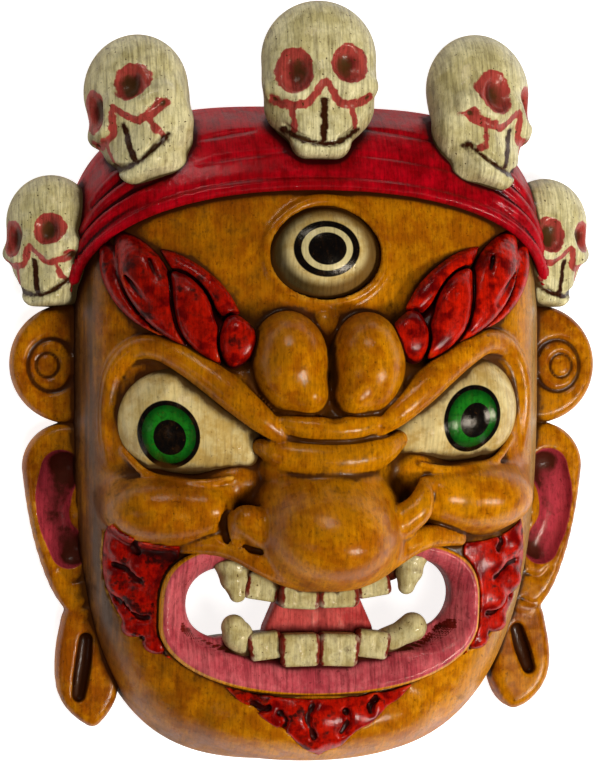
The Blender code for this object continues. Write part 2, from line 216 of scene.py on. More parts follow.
# %% Ball, block, roll and plate
def ball(centre, radii, turned=None):
    """A stretched ball, turned by a matrix if one is given."""
    radii = np.array(radii, float)
    reach = radii if turned is None else np.full(3, radii.max())

    def field(x, y, z):
        u, v, w = x - centre[0], y - centre[1], z - centre[2]
        if turned is not None:
            u, v, w = (turned[0, i] * u + turned[1, i] * v + turned[2, i] * w for i in range(3))
        near = np.sqrt((u / radii[0]) ** 2 + (v / radii[1]) ** 2 + (w / radii[2]) ** 2)
        slope = np.sqrt((u / radii[0] ** 2) ** 2 + (v / radii[1] ** 2) ** 2 + (w / radii[2] ** 2) ** 2)
        return near * (near - 1.0) / np.maximum(slope, 1e-6)
    return np.array(centre) - reach, np.array(centre) + reach, field


def block(centre, half, rounding):
    """A box with rounded edges and corners."""
    centre, half = np.array(centre, float), np.array(half, float)

    def field(x, y, z):
        u = np.abs(x - centre[0]) - half[0] + rounding
        v = np.abs(y - centre[1]) - half[1] + rounding
        w = np.abs(z - centre[2]) - half[2] + rounding
        outside = np.sqrt(np.maximum(u, 0.0) ** 2 + np.maximum(v, 0.0) ** 2 + np.maximum(w, 0.0) ** 2)
        return outside + np.minimum(np.maximum(np.maximum(u, v), w), 0.0) - rounding
    return centre - half, centre + half, field


def roll_of(points):
    """A rounded roll through points given as x, y, z, radius."""
    points = np.array(points, float)
    low = (points[:, :3] - points[:, 3:]).min(axis=0)
    high = (points[:, :3] + points[:, 3:]).max(axis=0)

    def field(x, y, z):
        best = None
        for start, end in zip(points[:-1], points[1:]):
            step = end[:3] - start[:3]
            along = (x - start[0]) * step[0] + (y - start[1]) * step[1] + (z - start[2]) * step[2]
            share = np.clip(along / max(float(step @ step), 1e-6), 0.0, 1.0)
            gap = np.sqrt((x - start[0] - share * step[0]) ** 2 + (y - start[1] - share * step[1]) ** 2
                          + (z - start[2] - share * step[2]) ** 2)
            gap = gap - (start[3] + share * (end[3] - start[3]))
            best = gap if best is None else np.minimum(best, gap)
        return best
    return low, high, field


def plate_of(points, bottom, top, rounding):
    """A flat plate whose outline is a chain of circles x, y, radius."""
    low, high, outline = roll_of([(px, py, 0.0, pr) for px, py, pr in points])
    middle, half = 0.5 * (bottom + top), 0.5 * (top - bottom) - rounding

    def field(x, y, z):
        across = outline(x, y, 0.0 * z) + rounding
        through = np.abs(z - middle) - half
        outside = np.sqrt(np.maximum(across, 0.0) ** 2 + np.maximum(through, 0.0) ** 2)
        return outside + np.minimum(np.maximum(across, through), 0.0) - rounding
    return (low[0], low[1], bottom), (high[0], high[1], top), field


def smooth_path(points, parts=6):
    """More points between the given ones, on a smooth curve through them all."""
    points = np.array(points, float)
    ends = np.vstack((2 * points[0] - points[1], points, 2 * points[-1] - points[-2]))
    path = []
    for a, b, c, d in zip(ends[:-3], ends[1:-2], ends[2:-1], ends[3:]):
        for i in range(parts):
            t = i / parts
            path.append(0.5 * (2 * b + (c - a) * t + (2 * a - 5 * b + 4 * c - d) * t ** 2
                               + (3 * b - a - 3 * c + d) * t ** 3))
    return np.vstack((path, points[-1]))


def mirrored(points, side):
    """Chain points moved to one side of the face."""
    return [(side * p[0],) + tuple(p[1:]) for p in points]


# %% The dome of the head
HEAD_HALF_WIDTH = 118.0
HEAD_MIDDLE_Y = 20.0
HEAD_RISE = 114.0
HEAD_DROP = 209.0
HEAD_DEPTH = 74.0
TOP_ROUNDNESS = 3.6
JAW_ROUNDNESS = (3.4, 3.0)
FRONT_ROUNDNESS = 3.2
WALL = 15.0
FRONT_WALL = 19.0


def egg(x, y, middle_y, half_width, rise, drop, top_power, low_power):
    """How far out a point is in an egg outline, 1 on the outline, and its distance from it."""
    across = np.abs(x) / half_width
    upper = y > middle_y
    reach = np.where(upper, rise, drop)
    power = np.where(upper, top_power, low_power)
    along = np.abs(y - middle_y) / reach
    out = np.maximum((across ** power + along ** power), 1e-9) ** (1.0 / power)
    slope = np.sqrt((across ** (power - 1) / half_width) ** 2 + (along ** (power - 1) / reach) ** 2)
    slope = np.maximum(slope * out ** (1 - power), 1e-4)
    return out, (out - 1.0) / slope


def head_out(x, y, grow=0.0):
    """How far out a point is in the outline of the head."""
    jaw = np.where(np.asarray(x) < 0.0, *JAW_ROUNDNESS)
    return egg(x, y, HEAD_MIDDLE_Y, HEAD_HALF_WIDTH + grow, HEAD_RISE + grow, HEAD_DROP + grow,
               TOP_ROUNDNESS, jaw)[0]


def shell_height(x, y, grow=0.0):
    """Height of the plain shell above the rim."""
    out = head_out(np.asarray(x, float), np.asarray(y, float), grow)
    inside = np.maximum(0.0, 1.0 - out ** FRONT_ROUNDNESS)
    return (HEAD_DEPTH + grow) * inside ** (1.0 / FRONT_ROUNDNESS)


def dome(grow, depth):
    """The rounded block of the head, grown outward and with its own depth."""
    def field(x, y, z):
        power = head_out(x, y, grow) ** FRONT_ROUNDNESS + (np.abs(z) / depth) ** FRONT_ROUNDNESS
        return (power ** (1.0 / FRONT_ROUNDNESS) - 1.0) * depth
    side = HEAD_HALF_WIDTH + grow
    chin, crown = HEAD_MIDDLE_Y - HEAD_DROP - grow, HEAD_MIDDLE_Y + HEAD_RISE + grow
    return (-side, chin, -depth), (side, crown, depth), field


def on_shell(path, lift, radius):
    """Chain points laid on the shell: x, y become x, y, height, radius."""
    return [(x, y, float(shell_height(x, y)) + lift, radius) for x, y in path]


print("shell height at the forehead", round(float(shell_height(0, 60)), 1), "mm")

# %% [markdown]
# ## The features of the face
# Each feature is a short recipe of forms with sizes measured on the object. Both sides
# use the same recipe; the right eye and cheek sit a few millimetres higher than the left,
# because the carver worked by eye. Dark creases of the real mask are real cuts here, so
# the glaze and painted shade that the paint puts in them later have somewhere to go.

# %% Eyes, lids and cheeks
SIDE_DROP = 3.0
EYE = ((69.0, -15.5, 52.5, 30.0), (55.0, -21.0, 60.0, 22.5), (38.5, -29.0, 71.0, 10.0))
UPPER_LID = ((23.0, -24.0, 88.0, 4.0), (33.0, -16.0, 89.0, 6.4), (45.0, -5.5, 86.5, 7.6),
             (57.0, 4.5, 81.5, 7.6), (69.0, 13.0, 75.5, 7.0), (80.5, 18.5, 68.5, 6.2),
             (91.5, 17.0, 61.0, 5.4), (99.5, 7.5, 56.0, 4.8), (103.0, -6.0, 54.0, 4.2),
             (103.0, -24.0, 51.0, 3.6), (99.5, -40.0, 50.0, 2.6))
LOWER_LID = ((46.0, -42.5, 80.5, 1.4), (58.0, -45.0, 79.5, 2.0), (72.0, -44.5, 75.5, 2.0),
             (86.0, -40.5, 68.0, 2.0), (96.0, -30.0, 59.0, 1.6))
CHEEK = (((73.0, -58.5, 60.0), (33.0, 19.0, 27.0), 3.0), ((57.0, -57.5, 68.0), (15.0, 13.5, 20.0), 5.0),
         ((94.0, -54.0, 50.0), (12.0, 13.5, 16.0), 5.0), ((42.0, -44.0, 64.0), (17.0, 11.0, 15.0), 8.0))


def on_side(chain, side, share=1.0):
    """A chain moved to one side of the face, and up or down with that side."""
    return mirrored([(x, y + share * side * SIDE_DROP, z, radius) for x, y, z, radius in chain], side)


def eye_form(side):
    """The bulging eyeball, drawn out towards its inner corner."""
    return roll_of(smooth_path(on_side(EYE, side), 3))


def carve_eye_surround(clay, side):
    """Socket, heavy upper lid, thin lower lid and the pad of the cheek."""
    drop = side * SIDE_DROP
    clay.cut(ball((side * 66.0, -17.0 + drop, 80.0), (38.0, 31.0, 22.0)), 3.0)
    clay.add(ball((side * 41.0, -2.0, 70.0), (17.0, 16.0, 17.0)), 4.0)
    clay.add(roll_of(smooth_path(on_side(UPPER_LID, side, 0.5), 4)), 2.0)
    for (x, y, z), radii, soft in CHEEK:
        clay.add(ball((side * x, y + drop, z), radii), soft)
    clay.add(roll_of(smooth_path(on_side(LOWER_LID, side), 4)), 1.5)


# %% Nose, folds and the two bumps between the brows
BUMPS = ((-1, -18.5, 8.5, 19.5), (1, 20.0, 8.0, 18.5))
FOLDS = ((-21.5, 5.6, 95.0, 7.5), (-36.0, 8.4, 93.0, 6.5))
NOSE = (((0.5, -60.0, 66.0), (37.0, 24.0, 35.0), 5.0), ((0.5, -71.5, 81.0), (35.0, 27.0, 34.0), 8.0),
        ((2.5, -77.5, 89.0), (26.0, 19.5, 31.0), 10.0))
WING_CURLS = {-1: ((-48.5, -62.0, 84.0, 1.4), (-46.0, -55.5, 86.0, 2.6), (-40.0, -52.0, 89.0, 3.8),
                   (-33.5, -54.5, 93.0, 3.4), (-31.5, -61.5, 98.0, 2.0)),
              1: ((35.0, -61.0, 99.0, 1.4), (34.5, -54.0, 95.0, 2.8), (37.5, -47.5, 90.0, 3.8),
                  (43.5, -43.5, 86.0, 3.0), (50.0, -44.5, 84.0, 1.2))}
WINGS = {-1: ((-43.0, -71.5, 82.0, 5.5), (-40.0, -66.0, 87.0, 7.8), (-33.0, -70.0, 87.0, 8.5)),
         1: ((47.5, -48.5, 84.0, 3.2), (46.0, -54.0, 88.0, 5.2), (43.0, -60.5, 89.0, 7.0),
             (36.0, -66.5, 88.0, 8.0))}
WING_CREASES = {-1: ((-50.5, -63.0, 84.0, 1.4), (-50.5, -71.0, 82.0, 2.4), (-45.0, -77.5, 82.0, 2.2),
                     (-33.0, -80.5, 88.0, 1.6)),
                1: ((52.0, -50.0, 88.5, 1.8), (52.5, -60.0, 87.5, 3.0), (57.0, -68.0, 83.5, 2.8),
                    (66.0, -72.5, 77.5, 1.8))}


def carve_nose(clay):
    """Bumps, two folds across the bridge, the heavy tip and its curled wings."""
    for side, x, y, half in BUMPS:
        clay.add(ball((x, y, 78.0), (half, 26.0, 26.0)), 1.2)
        clay.add(ball((x - side * 8.0, y - 14.0, 79.0), (11.0, 12.0, 23.0)), 4.0)
        crescent = [(x + side * 8.0, 37.5, 78.0, 1.0), (x - side * 4.0, 36.5, 80.0, 2.6),
                    (x - side * 12.5, 29.5, 82.0, 2.4), (x - side * 16.0, 20.0, 86.0, 1.4)]
        clay.cut(roll_of(smooth_path(crescent, 4)), 1.0)
    clay.add(ball((1.0, 27.0, 66.0), (9.0, 12.0, 12.5)), 2.0)
    clay.cut(roll_of([(1.0, 16.0, 90.0, 1.2), (1.0, 4.0, 99.0, 1.4), (1.0, -10.0, 101.5, 1.4)]), 1.2)
    clay.add(ball((0.0, -36.0, 72.0), (34.0, 28.0, 24.0)), 5.0)
    for y, radius, height, curl in FOLDS:
        fold = [(-32.0, y + 0.8 * curl, 81.0, 0.5 * radius), (-24.0, y + 0.35 * curl, 87.0, 0.8 * radius),
                (-12.0, y, height - 3.0, radius), (0.0, y - 0.6, height - 1.5, radius),
                (12.0, y, height - 3.0, radius), (25.0, y + 0.45 * curl, 86.5, 0.85 * radius),
                (35.0, y + 1.3 * curl, 80.0, 0.55 * radius)]
        clay.add(roll_of(smooth_path(fold, 4)), 1.2)
    clay.cut(ball((1.5, -16.0, 100.0), (6.0, 3.6, 8.0)), 1.5)
    for centre, radii, soft in NOSE:
        clay.add(ball(centre, radii), soft)
    for side in (-1, 1):
        clay.cut(roll_of(smooth_path(WING_CURLS[side], 4)), 1.5)
        clay.add(roll_of(smooth_path(WINGS[side], 4)), 3.0)
        clay.cut(roll_of(smooth_path(WING_CREASES[side], 4)), 1.5)


# %% Third eye
THIRD_EYE = (0.8, 62.0)
THIRD_EYE_RIM = (29.5, 23.5)
THIRD_EYE_POINT = 3.0
THIRD_EYE_EDGE = (25.4, 21.2)
THIRD_IRIS = (0.6, 64.4)
THIRD_IRIS_HALF = (16.0, 13.5)


def third_eye_form():
    """The flat ball of the forehead eye."""
    return ball((THIRD_EYE[0], THIRD_EYE[1] - 0.5, 55.0), (32.0, 26.5, 25.5))


def carve_third_eye(clay):
    """A hollow on the forehead, a low rim that rises to a point, and a groove around the ball."""
    x, y = THIRD_EYE
    clay.cut(ball((x, y, 80.5), (34.0, 28.0, 12.5)), 2.0)
    turns = [2.0 * math.pi * i / 48.0 for i in range(49)]
    wide, tall = THIRD_EYE_RIM
    rim = []
    for turn in turns:
        point = THIRD_EYE_POINT * max(0.0, math.sin(turn)) ** 5
        rim.append((x + wide * math.cos(turn), y + tall * math.sin(turn) + point))
    clay.add(roll_of(on_shell(rim, -0.2, 2.3)), 2.5)
    wide, tall = THIRD_EYE_EDGE
    groove = [(x + wide * math.cos(turn), y + tall * math.sin(turn)) for turn in turns]
    clay.cut(roll_of(on_shell(groove, -2.2, 2.5)), 1.5)


# %% [markdown]
# ## The mouth
# The lips are a wide ring that stands proud of the cheeks, with a crisp outer edge, and
# falls inwards like the rim of a plate. Two gaps go right through the wood beside the
# tongue. Below the cheeks and under the lip the carver cut low curls of flame for the
# beard, with comma-shaped nicks between them.

# %% Mouth
MOUTH = (-116.5, 79.0, 41.0, 36.0, 3.6, 2.1)
LIP_PROUD = 7.0
LIP_FALL = 21.0
LIP_CREST = 3.0
LIP_WIDTH = 15.0
LOW_LIP_RISE = 0.55
LIP_BED = 2.4
GAP = ((25.0, -112.0, 10.0), (38.0, -108.5, 14.5), (48.0, -105.5, 17.5))
GUMS = (((-34.0, -130.0, 49.0, 7.0), (0.0, -132.0, 51.0, 7.0), (34.0, -130.0, 49.0, 7.0)),
        ((-34.0, -90.0, 60.0, 7.0), (0.0, -95.0, 61.0, 7.0), (34.0, -90.0, 60.0, 7.0)))


def mouth_edge(x, y):
    """Distance outside the outer edge of the lips, less than zero inside."""
    return egg(x, y, *MOUTH)[1]


def lip_top(x, y):
    """Height of the lips: a rounded crest at the edge, then a fall into the mouth."""
    depth = -mouth_edge(x, y)
    short = np.clip(LIP_CREST - depth, 0, LIP_CREST)
    rounding = LIP_CREST - np.sqrt(np.maximum(LIP_CREST ** 2 - short ** 2, 0.0))
    fall = LIP_FALL * np.clip((depth - LIP_CREST) / LIP_WIDTH, 0.0, 1.0) ** 1.25
    fall = fall * (1.0 - LOW_LIP_RISE * np.clip((-120.0 - y) / 12.0, 0.0, 1.0))
    return shell_height(x, y) + LIP_PROUD - rounding - fall


def lips_form(inset=0.0):
    """The ring of the lips, or the bed for it, which is a little smaller."""
    def field(x, y, z):
        top = lip_top(x, y) - inset
        return np.maximum(np.maximum(mouth_edge(x, y) + inset, 0.75 * (z - top)), 22.0 - z)
    return (-80.0, -154.0, 22.0), (80.0, -74.0, 80.0), field


def mouth_hollow():
    """Everything above the lips, inside their outer edge."""
    def field(x, y, z):
        return np.maximum(mouth_edge(x, y) + 0.6, 0.75 * (lip_top(x, y) - z))
    return (-80.0, -154.0, 30.0), (80.0, -74.0, 130.0), field


def pierce_gaps(clay, wider=0.0):
    """The two see-through gaps between the lips and the tongue, undercut from behind."""
    for side in (-1, 1):
        gap = [(side * x, y, radius + wider) for x, y, radius in GAP]
        gap[-1] = (gap[-1][0], gap[-1][1] + 0.5 * side * SIDE_DROP, gap[-1][2])
        clay.cut(plate_of(gap, -20.0, 140.0, 1.0), 1.5)
        clay.cut(plate_of([(x + side * 6.0, y, radius) for x, y, radius in gap], -20.0, 42.0, 1.0), 3.0)


def carve_lips(clay):
    """The pink ring alone, pierced by the gaps."""
    clay.add(lips_form(), 0.5)
    pierce_gaps(clay)


def carve_mouth(clay):
    """Hollow the mouth, leave a bed for the lips, pierce the gaps and add the gums."""
    clay.cut(mouth_hollow(), 1.0)
    clay.add(lips_form(LIP_BED), 1.0)
    pierce_gaps(clay, 1.0)
    clay.add(plate_of([(-17.0, -122.0, 8.0), (17.0, -122.0, 8.0)], 36.0, 52.0, 4.0), 4.0)
    for gum, soft in zip(GUMS, (4.0, 3.0)):
        clay.add(roll_of(gum), soft)


UPPER_LIP = ((12.0, -94.5, 82.0, 2.6), (22.0, -91.0, 83.5, 4.0), (32.0, -85.0, 83.0, 5.4),
             (41.0, -79.0, 81.0, 6.2), (51.0, -76.0, 77.0, 5.8), (60.0, -76.5, 73.0, 4.6),
             (68.0, -78.0, 69.0, 3.0))


def carve_upper_lip(clay):
    """The strip of skin that follows the underside of the nose and runs into the cheeks."""
    for side in (-1, 1):
        clay.add(roll_of(smooth_path(on_side(UPPER_LIP, side, 0.5), 4)), 2.0)


# %% Flame beard
def flame_side(x, y):
    """Distance outside the flame patch beside the mouth."""
    across = np.abs(x)
    patch = np.sqrt((across - 50.0) ** 2 + (y + 84.0) ** 2) - 55.0
    cheek = 22.0 * (1.0 - np.sqrt(((across - 72.0) / 35.0) ** 2 + ((y + 57.0) / 21.0) ** 2))
    beside = np.maximum(1.0 - mouth_edge(x, y), 70.0 - across)
    return np.maximum(np.maximum(patch, beside), np.maximum(cheek, y + 66.0))


def flame_chin(x, y):
    """Distance outside the flame patch under the lip, with a waved lower edge."""
    wave = 0.8 * np.sin(np.abs(x) * 0.42 + 0.6)
    low = (-183.0 + 0.74 * np.abs(x) + wave - y) * 0.8
    return np.maximum(np.maximum(low, 1.0 - mouth_edge(x, y)), y + 140.0)


BEARD_PROUD = 1.0
BEARD_BED = 3.0
SIDE_CURLS = ((96.0, -79.0, 7.0), (84.0, -88.0, 8.0), (96.0, -97.0, 7.0), (86.0, -106.0, 8.0),
              (90.0, -119.0, 6.0), (80.0, -127.0, 5.5))
SIDE_NICKS = (((89.0, -73.0), (91.0, -78.0), (89.0, -82.0)), ((100.0, -88.0), (94.0, -90.5), (88.0, -96.0)),
              ((101.0, -103.0), (97.0, -106.0)), ((94.0, -107.0), (88.0, -113.5), (84.0, -113.5)),
              ((92.0, -125.5), (86.0, -124.0)), ((80.0, -134.0), (75.0, -131.0)))
CHIN_CURLS = ((-26.0, -158.0, 6.0), (-13.0, -162.0, 7.0), (0.0, -164.0, 7.5), (14.0, -161.0, 7.0),
              (26.0, -157.0, 5.5), (-3.0, -174.0, 5.5), (7.0, -171.5, 5.0))
CHIN_NICKS = (((-20.5, -160.0), (-18.0, -164.0), (-20.0, -170.0)),
              ((-4.5, -156.0), (-7.5, -163.0), (-4.0, -172.0)),
              ((11.5, -159.5), (12.5, -164.5), (10.0, -170.0)),
              ((-33.0, -156.0), (-29.0, -158.0), (-26.0, -157.5)),
              ((27.0, -154.0), (24.0, -157.5), (24.5, -160.0)))


def top_of(clay, x, y):
    """Height of the highest surface of the clay over a point."""
    heights = clay.axes[2][::-1]
    column = clay.sample(np.array([(x, y, z) for z in heights]))
    return float(heights[int(np.argmax(column < 0.0))])


def flames(x, y):
    """Distance outside all three flame patches."""
    return np.minimum(flame_side(x, y), flame_chin(x, y))


def carve_beard(clay, under):
    """A skin over the face in the flame patches, with low curls and nicks between them."""
    x, y, z = np.meshgrid(*clay.axes, indexing="ij")
    skin = under.sample(np.stack((x.ravel(), y.ravel(), z.ravel()), axis=1)).reshape(x.shape)
    body = np.maximum(np.abs(skin + 2.0) - 2.0 - BEARD_PROUD, flames(x, y))
    clay.value = body.astype(np.float32)

    def nick_form(nick, lift, radius):
        """One comma-shaped cut that follows the face under it."""
        return roll_of([(x, y, top_of(under, x, y) + lift, radius) for x, y in nick])
    for side in (-1, 1):
        for x, y, size in SIDE_CURLS:
            top = top_of(under, side * x, y)
            clay.add(ball((side * x, y, top - 2.0), (size, 0.8 * size, 4.6)), 3.0)
        for nick in SIDE_NICKS:
            clay.cut(nick_form(mirrored(smooth_path(nick, 4), side), 1.6, 1.4), 1.0)
    for x, y, size in CHIN_CURLS:
        clay.add(ball((x, y, top_of(under, x, y) - 2.2), (0.9 * size, size, 4.6)), 3.0)
    for nick in CHIN_NICKS:
        clay.cut(nick_form(smooth_path(nick, 4), 1.4, 1.9), 1.0)


def bed_for_beard(clay):
    """Lower the face where the beard lies on it."""
    x, y = np.meshgrid(clay.axes[0], clay.axes[1], indexing="ij")
    inside = -flames(x, y)[:, :, None] - 0.7
    front = clay.axes[2][None, None, :] > 12.0
    lowered = np.maximum(clay.value, np.minimum(inside, clay.value + BEARD_BED))
    clay.value = np.where(front, lowered, clay.value).astype(np.float32)


# %% Face shell
def carve_face(clay):
    """The whole ochre face with its hollow back, without the pieces set in later."""
    clay.add(dome(0.0, HEAD_DEPTH), 1.0)
    clay.add(ball((0.0, -163.0, 38.0), (58.0, 22.0, 30.0)), 8.0)
    clay.cut(dome(-WALL, HEAD_DEPTH - FRONT_WALL), 4.0)
    carve_mouth(clay)
    for side in (-1, 1):
        carve_eye_surround(clay, side)
    clay.add(ball((0.0, -82.0, 70.0), (38.0, 11.0, 12.0)), 4.0)
    carve_upper_lip(clay)
    carve_nose(clay)
    carve_third_eye(clay)
    clay.cut(ball((0.0, -55.0, 46.0), (20.0, 26.0, 24.0)), 8.0)


# %% [markdown]
# ## Headband, brows and ears
# The band is the dome grown by a few millimetres and kept above an arched edge, with a
# rolled hem, three pleats at each side and short strokes of the gouge over the forehead.
# The brows are flame tongues that lean over each other like a twisted cord. The ears are
# flat plates at the back: a disc with a cut scroll, a long shell with a hollow, and a
# slit lobe that ends in a point.

# %% Headband
BAND_PROUD = 4.5
BAND_LOW_Y = 44.0
BAND_ARCH = 50.0
BAND_HALF_WIDTH = 118.5
BAND_ARCH_ROUNDNESS = 2.15
BAND_FOLDS = ((9.0, 0.72, 0.99, 1.5), (18.0, 0.62, 0.97, 1.6), (28.0, 0.68, 0.93, 1.3))
BAND_STROKES = ((30.5, -0.49, -0.27, 1.3), (18.0, -0.51, -0.15, 1.4), (31.0, 0.19, 0.51, 1.3),
                (17.5, 0.15, 0.57, 1.4))


def band_edge(x):
    """Height of the lower edge of the headband across the forehead."""
    share = np.clip(np.abs(x) / BAND_HALF_WIDTH, 0.0, 1.0)
    return BAND_LOW_Y + BAND_ARCH * (1.0 - share ** BAND_ARCH_ROUNDNESS) ** (1.0 / BAND_ARCH_ROUNDNESS)


def band_arc(above, lift, radius, first=-1.0, last=1.0):
    """A chain along part of the band, a given height above its lower edge, thinner at its ends."""
    chain = []
    whole_width = abs(first) == abs(last)
    for i in range(61):
        share = first + (last - first) * i / 60.0
        x, taper = BAND_HALF_WIDTH * share, math.sin(math.pi * min(max(i / 60.0, 0.04), 0.96)) ** 0.4
        if whole_width:
            x, taper = (BAND_HALF_WIDTH - 0.5) * math.sin(0.5 * math.pi * share), 1.0
        y = float(band_edge(x)) + above * (1.0 - 0.35 * (abs(x) / BAND_HALF_WIDTH) ** 3)
        chain.append((x, y, float(shell_height(x, y, BAND_PROUD)) + lift, radius * taper))
    return chain


def carve_band(clay):
    """The crimson band with its hem and long pleats."""
    low, high, grown = dome(BAND_PROUD, HEAD_DEPTH + BAND_PROUD)

    def field(x, y, z):
        return np.maximum(grown(x, y, z), 0.8 * (band_edge(x) - y) + 0.0 * z)
    clay.add(((low[0], BAND_LOW_Y - 2.0, low[2]), high, field), 0.5)
    clay.add(roll_of(band_arc(2.2, -2.2, 3.2)), 1.0)
    clay.cut(roll_of(band_arc(6.0, 0.7, 0.9)), 1.5)
    for side in (-1.0, 1.0):
        for above, first, last, radius in BAND_FOLDS:
            clay.cut(roll_of(band_arc(above, 0.4, radius, side * first, side * last)), 1.5)
            clay.add(roll_of(band_arc(above + 3.6, -1.4, 2.6, side * first, side * last)), 3.0)
    for above, first, last, radius in BAND_STROKES:
        clay.cut(roll_of(band_arc(above, 0.4, radius, first, last)), 1.2)
    clay.cut(dome(-6.0, HEAD_DEPTH - 10.0), 1.0)


# %% Flame brows
BROW_BASE = ((42.0, 18.0, 73.0, 8.0), (56.0, 27.0, 71.0, 11.0), (70.0, 38.0, 66.0, 12.5),
             (84.0, 49.0, 59.0, 12.0), (95.0, 58.0, 52.0, 9.0), (104.0, 68.0, 48.0, 4.0))
BROW_LEAVES = (((43.0, 33.0, 80.0, 4.0), (51.0, 43.0, 78.5, 5.5), (61.0, 52.0, 74.0, 5.5),
                (72.0, 59.0, 68.0, 5.0), (83.0, 65.0, 60.0, 3.0)),
               ((76.0, 25.0, 72.0, 2.5), (88.0, 34.0, 66.0, 4.5), (96.5, 45.0, 59.0, 5.5),
                (101.5, 57.0, 53.0, 5.0), (103.0, 70.0, 50.0, 2.5)),
               ((62.0, 19.5, 78.0, 3.5), (73.0, 29.0, 76.5, 6.5), (80.0, 40.0, 73.0, 10.0),
                (85.0, 51.5, 67.0, 11.5), (90.5, 63.0, 59.5, 8.5), (96.5, 72.5, 54.5, 2.8)),
               ((42.0, 12.0, 82.0, 4.5), (53.0, 18.0, 82.5, 6.5), (60.5, 28.0, 81.5, 8.5),
                (63.5, 38.0, 79.0, 8.6), (67.0, 46.0, 75.5, 6.2), (71.0, 52.0, 73.5, 2.5)),
               ((43.0, 12.5, 82.5, 5.0), (41.0, 20.5, 83.5, 9.2), (42.5, 28.0, 82.5, 5.5)))
BROW_LINES = (((86.0, 37.0, 79.0, 1.2), (93.0, 48.0, 71.0, 1.6), (97.0, 61.0, 61.0, 1.2)),
              ((74.0, 36.0, 86.5, 1.0), (79.0, 47.0, 82.5, 1.6), (84.0, 60.0, 72.5, 1.2)),
              ((55.0, 24.0, 91.5, 1.0), (58.0, 34.0, 90.5, 1.6), (63.0, 43.0, 85.5, 1.0)),
              ((36.5, 15.0, 92.0, 1.0), (37.5, 23.0, 93.5, 1.4), (44.0, 27.5, 92.0, 1.0)))
BROW_IN = {-1: 2.5, 1: -1.0}
BROW_GAP = 1.7
BROW_PROUD = 18.0
BROW_TAPER = 0.09
BROW_SHAVE = 4.0


def lean(degrees):
    """Turn about the way the face looks: plus leans a form to the left."""
    turn = math.radians(degrees)
    across, along = math.cos(turn), math.sin(turn)
    return np.array([[across, -along, 0.0], [along, across, 0.0], [0.0, 0.0, 1.0]])


def carve_brow(clay, side):
    """Leaves laid over each other like a twisted cord, tails down and in, tips up and out."""
    def moved(chain):
        """The chain at its side, drawn towards the nose or away from it."""
        chain = [(x + BROW_IN[side] * (110.0 - x) / 70.0, y, z, radius) for x, y, z, radius in chain]
        return smooth_path(on_side(chain, side, 0.4), 4)
    clay.add(roll_of(moved(BROW_BASE)), 1.0)
    for leaf in BROW_LEAVES:
        grown = [(x, y, z, radius + BROW_GAP) for x, y, z, radius in leaf]
        clay.cut(roll_of(moved(grown)), 1.0)
        clay.add(roll_of(moved(leaf)), 0.8)
    clay.add(roll_of(moved([(x, y, z + 0.5, radius - 0.8) for x, y, z, radius in BROW_BASE])), 1.5)
    for line in BROW_LINES:
        clay.cut(roll_of(moved(line)), 1.0)


def flatten_brows(clay):
    """Shave the tops of the leaves, as the flat of a chisel leaves them."""
    x, y = np.meshgrid(clay.axes[0], clay.axes[1], indexing="ij")
    proud = BROW_PROUD - BROW_TAPER * (np.abs(x) - 40.0)
    roof = clay.axes[2][None, None, :] - (shell_height(x, y) + proud)[:, :, None]
    share = np.clip(0.5 + 0.5 * (roof - clay.value) / BROW_SHAVE, 0.0, 1.0)
    shaved = clay.value + (roof - clay.value) * share + BROW_SHAVE * share * (1.0 - share)
    clay.value = shaved.astype(np.float32)


# %% Ears
EAR_THICKNESS = 24.0
EAR_ROUNDING = 5.0
EAR_DISC = ((118.0, 9.5, 29.8), (100.0, 9.5, 29.8))
EAR_SHELL = ((119.5, -42.0, 22.0), (118.5, -60.0, 20.5), (116.5, -78.0, 18.5), (113.0, -95.0, 16.0),
             (110.0, -106.0, 12.5))
EAR_NICKS = (((124.0, -93.5), (119.0, -98.5), (112.5, -97.0)),
             ((122.0, -107.5), (116.5, -112.0), (110.0, -109.5)))
EAR_KNOB = (113.5, -64.0)
LOBE_NECK = ((108.0, -121.0, 14.5), (109.5, -135.0, 15.5))
LOBE_SLIT = {-1: ((111.0, -127.0, 3.4), (112.0, -137.0, 4.0), (113.5, -147.0, 4.0), (114.5, -154.5, 3.4)),
             1: ((107.5, -125.0, 3.4), (109.5, -132.0, 4.0), (111.5, -138.0, 4.0), (113.5, -144.0, 3.4))}
LOBE_FOOT = {-1: ((109.5, -149.0, 15.2), (108.5, -157.5, 11.0), (107.5, -165.5, 5.0)),
             1: ((109.5, -144.0, 15.0), (108.0, -152.5, 11.0), (106.5, -160.0, 5.0))}
EAR_HOLLOW = ((123.5, -43.0, 9.5), (127.0, -56.0, 8.5), (125.5, -70.0, 8.0), (119.5, -83.0, 8.5))


def ear_hollow(x, y):
    """Distance outside the rose-pink hollow of the ears."""
    chain = [(px, py, 0.0, pr) for px, py, pr in smooth_path(EAR_HOLLOW, 4)]
    shell = roll_of(chain)[2](np.abs(x), y, np.zeros_like(x))
    knob_x, knob_y = EAR_KNOB
    knob = 8.0 * (np.sqrt(((np.abs(x) - knob_x) / 6.0) ** 2 + ((y - knob_y) / 9.0) ** 2) - 1.0)
    return np.maximum(shell, -knob)


def ear_scroll(z=0.0):
    """The open ring and the small circle cut into the disc of an ear."""
    turns = [math.radians(-150.0 + 12.5 * i) for i in range(25)]
    ring = [(128.0 + 11.5 * math.cos(turn), 8.5 + 13.0 * math.sin(turn), z, 1.9) for turn in turns]
    turns = [math.radians(15.0 * i) for i in range(25)]
    circle = [(130.0 + 5.5 * math.cos(turn), 8.5 + 6.0 * math.sin(turn), z, 1.6) for turn in turns]
    return ring, circle


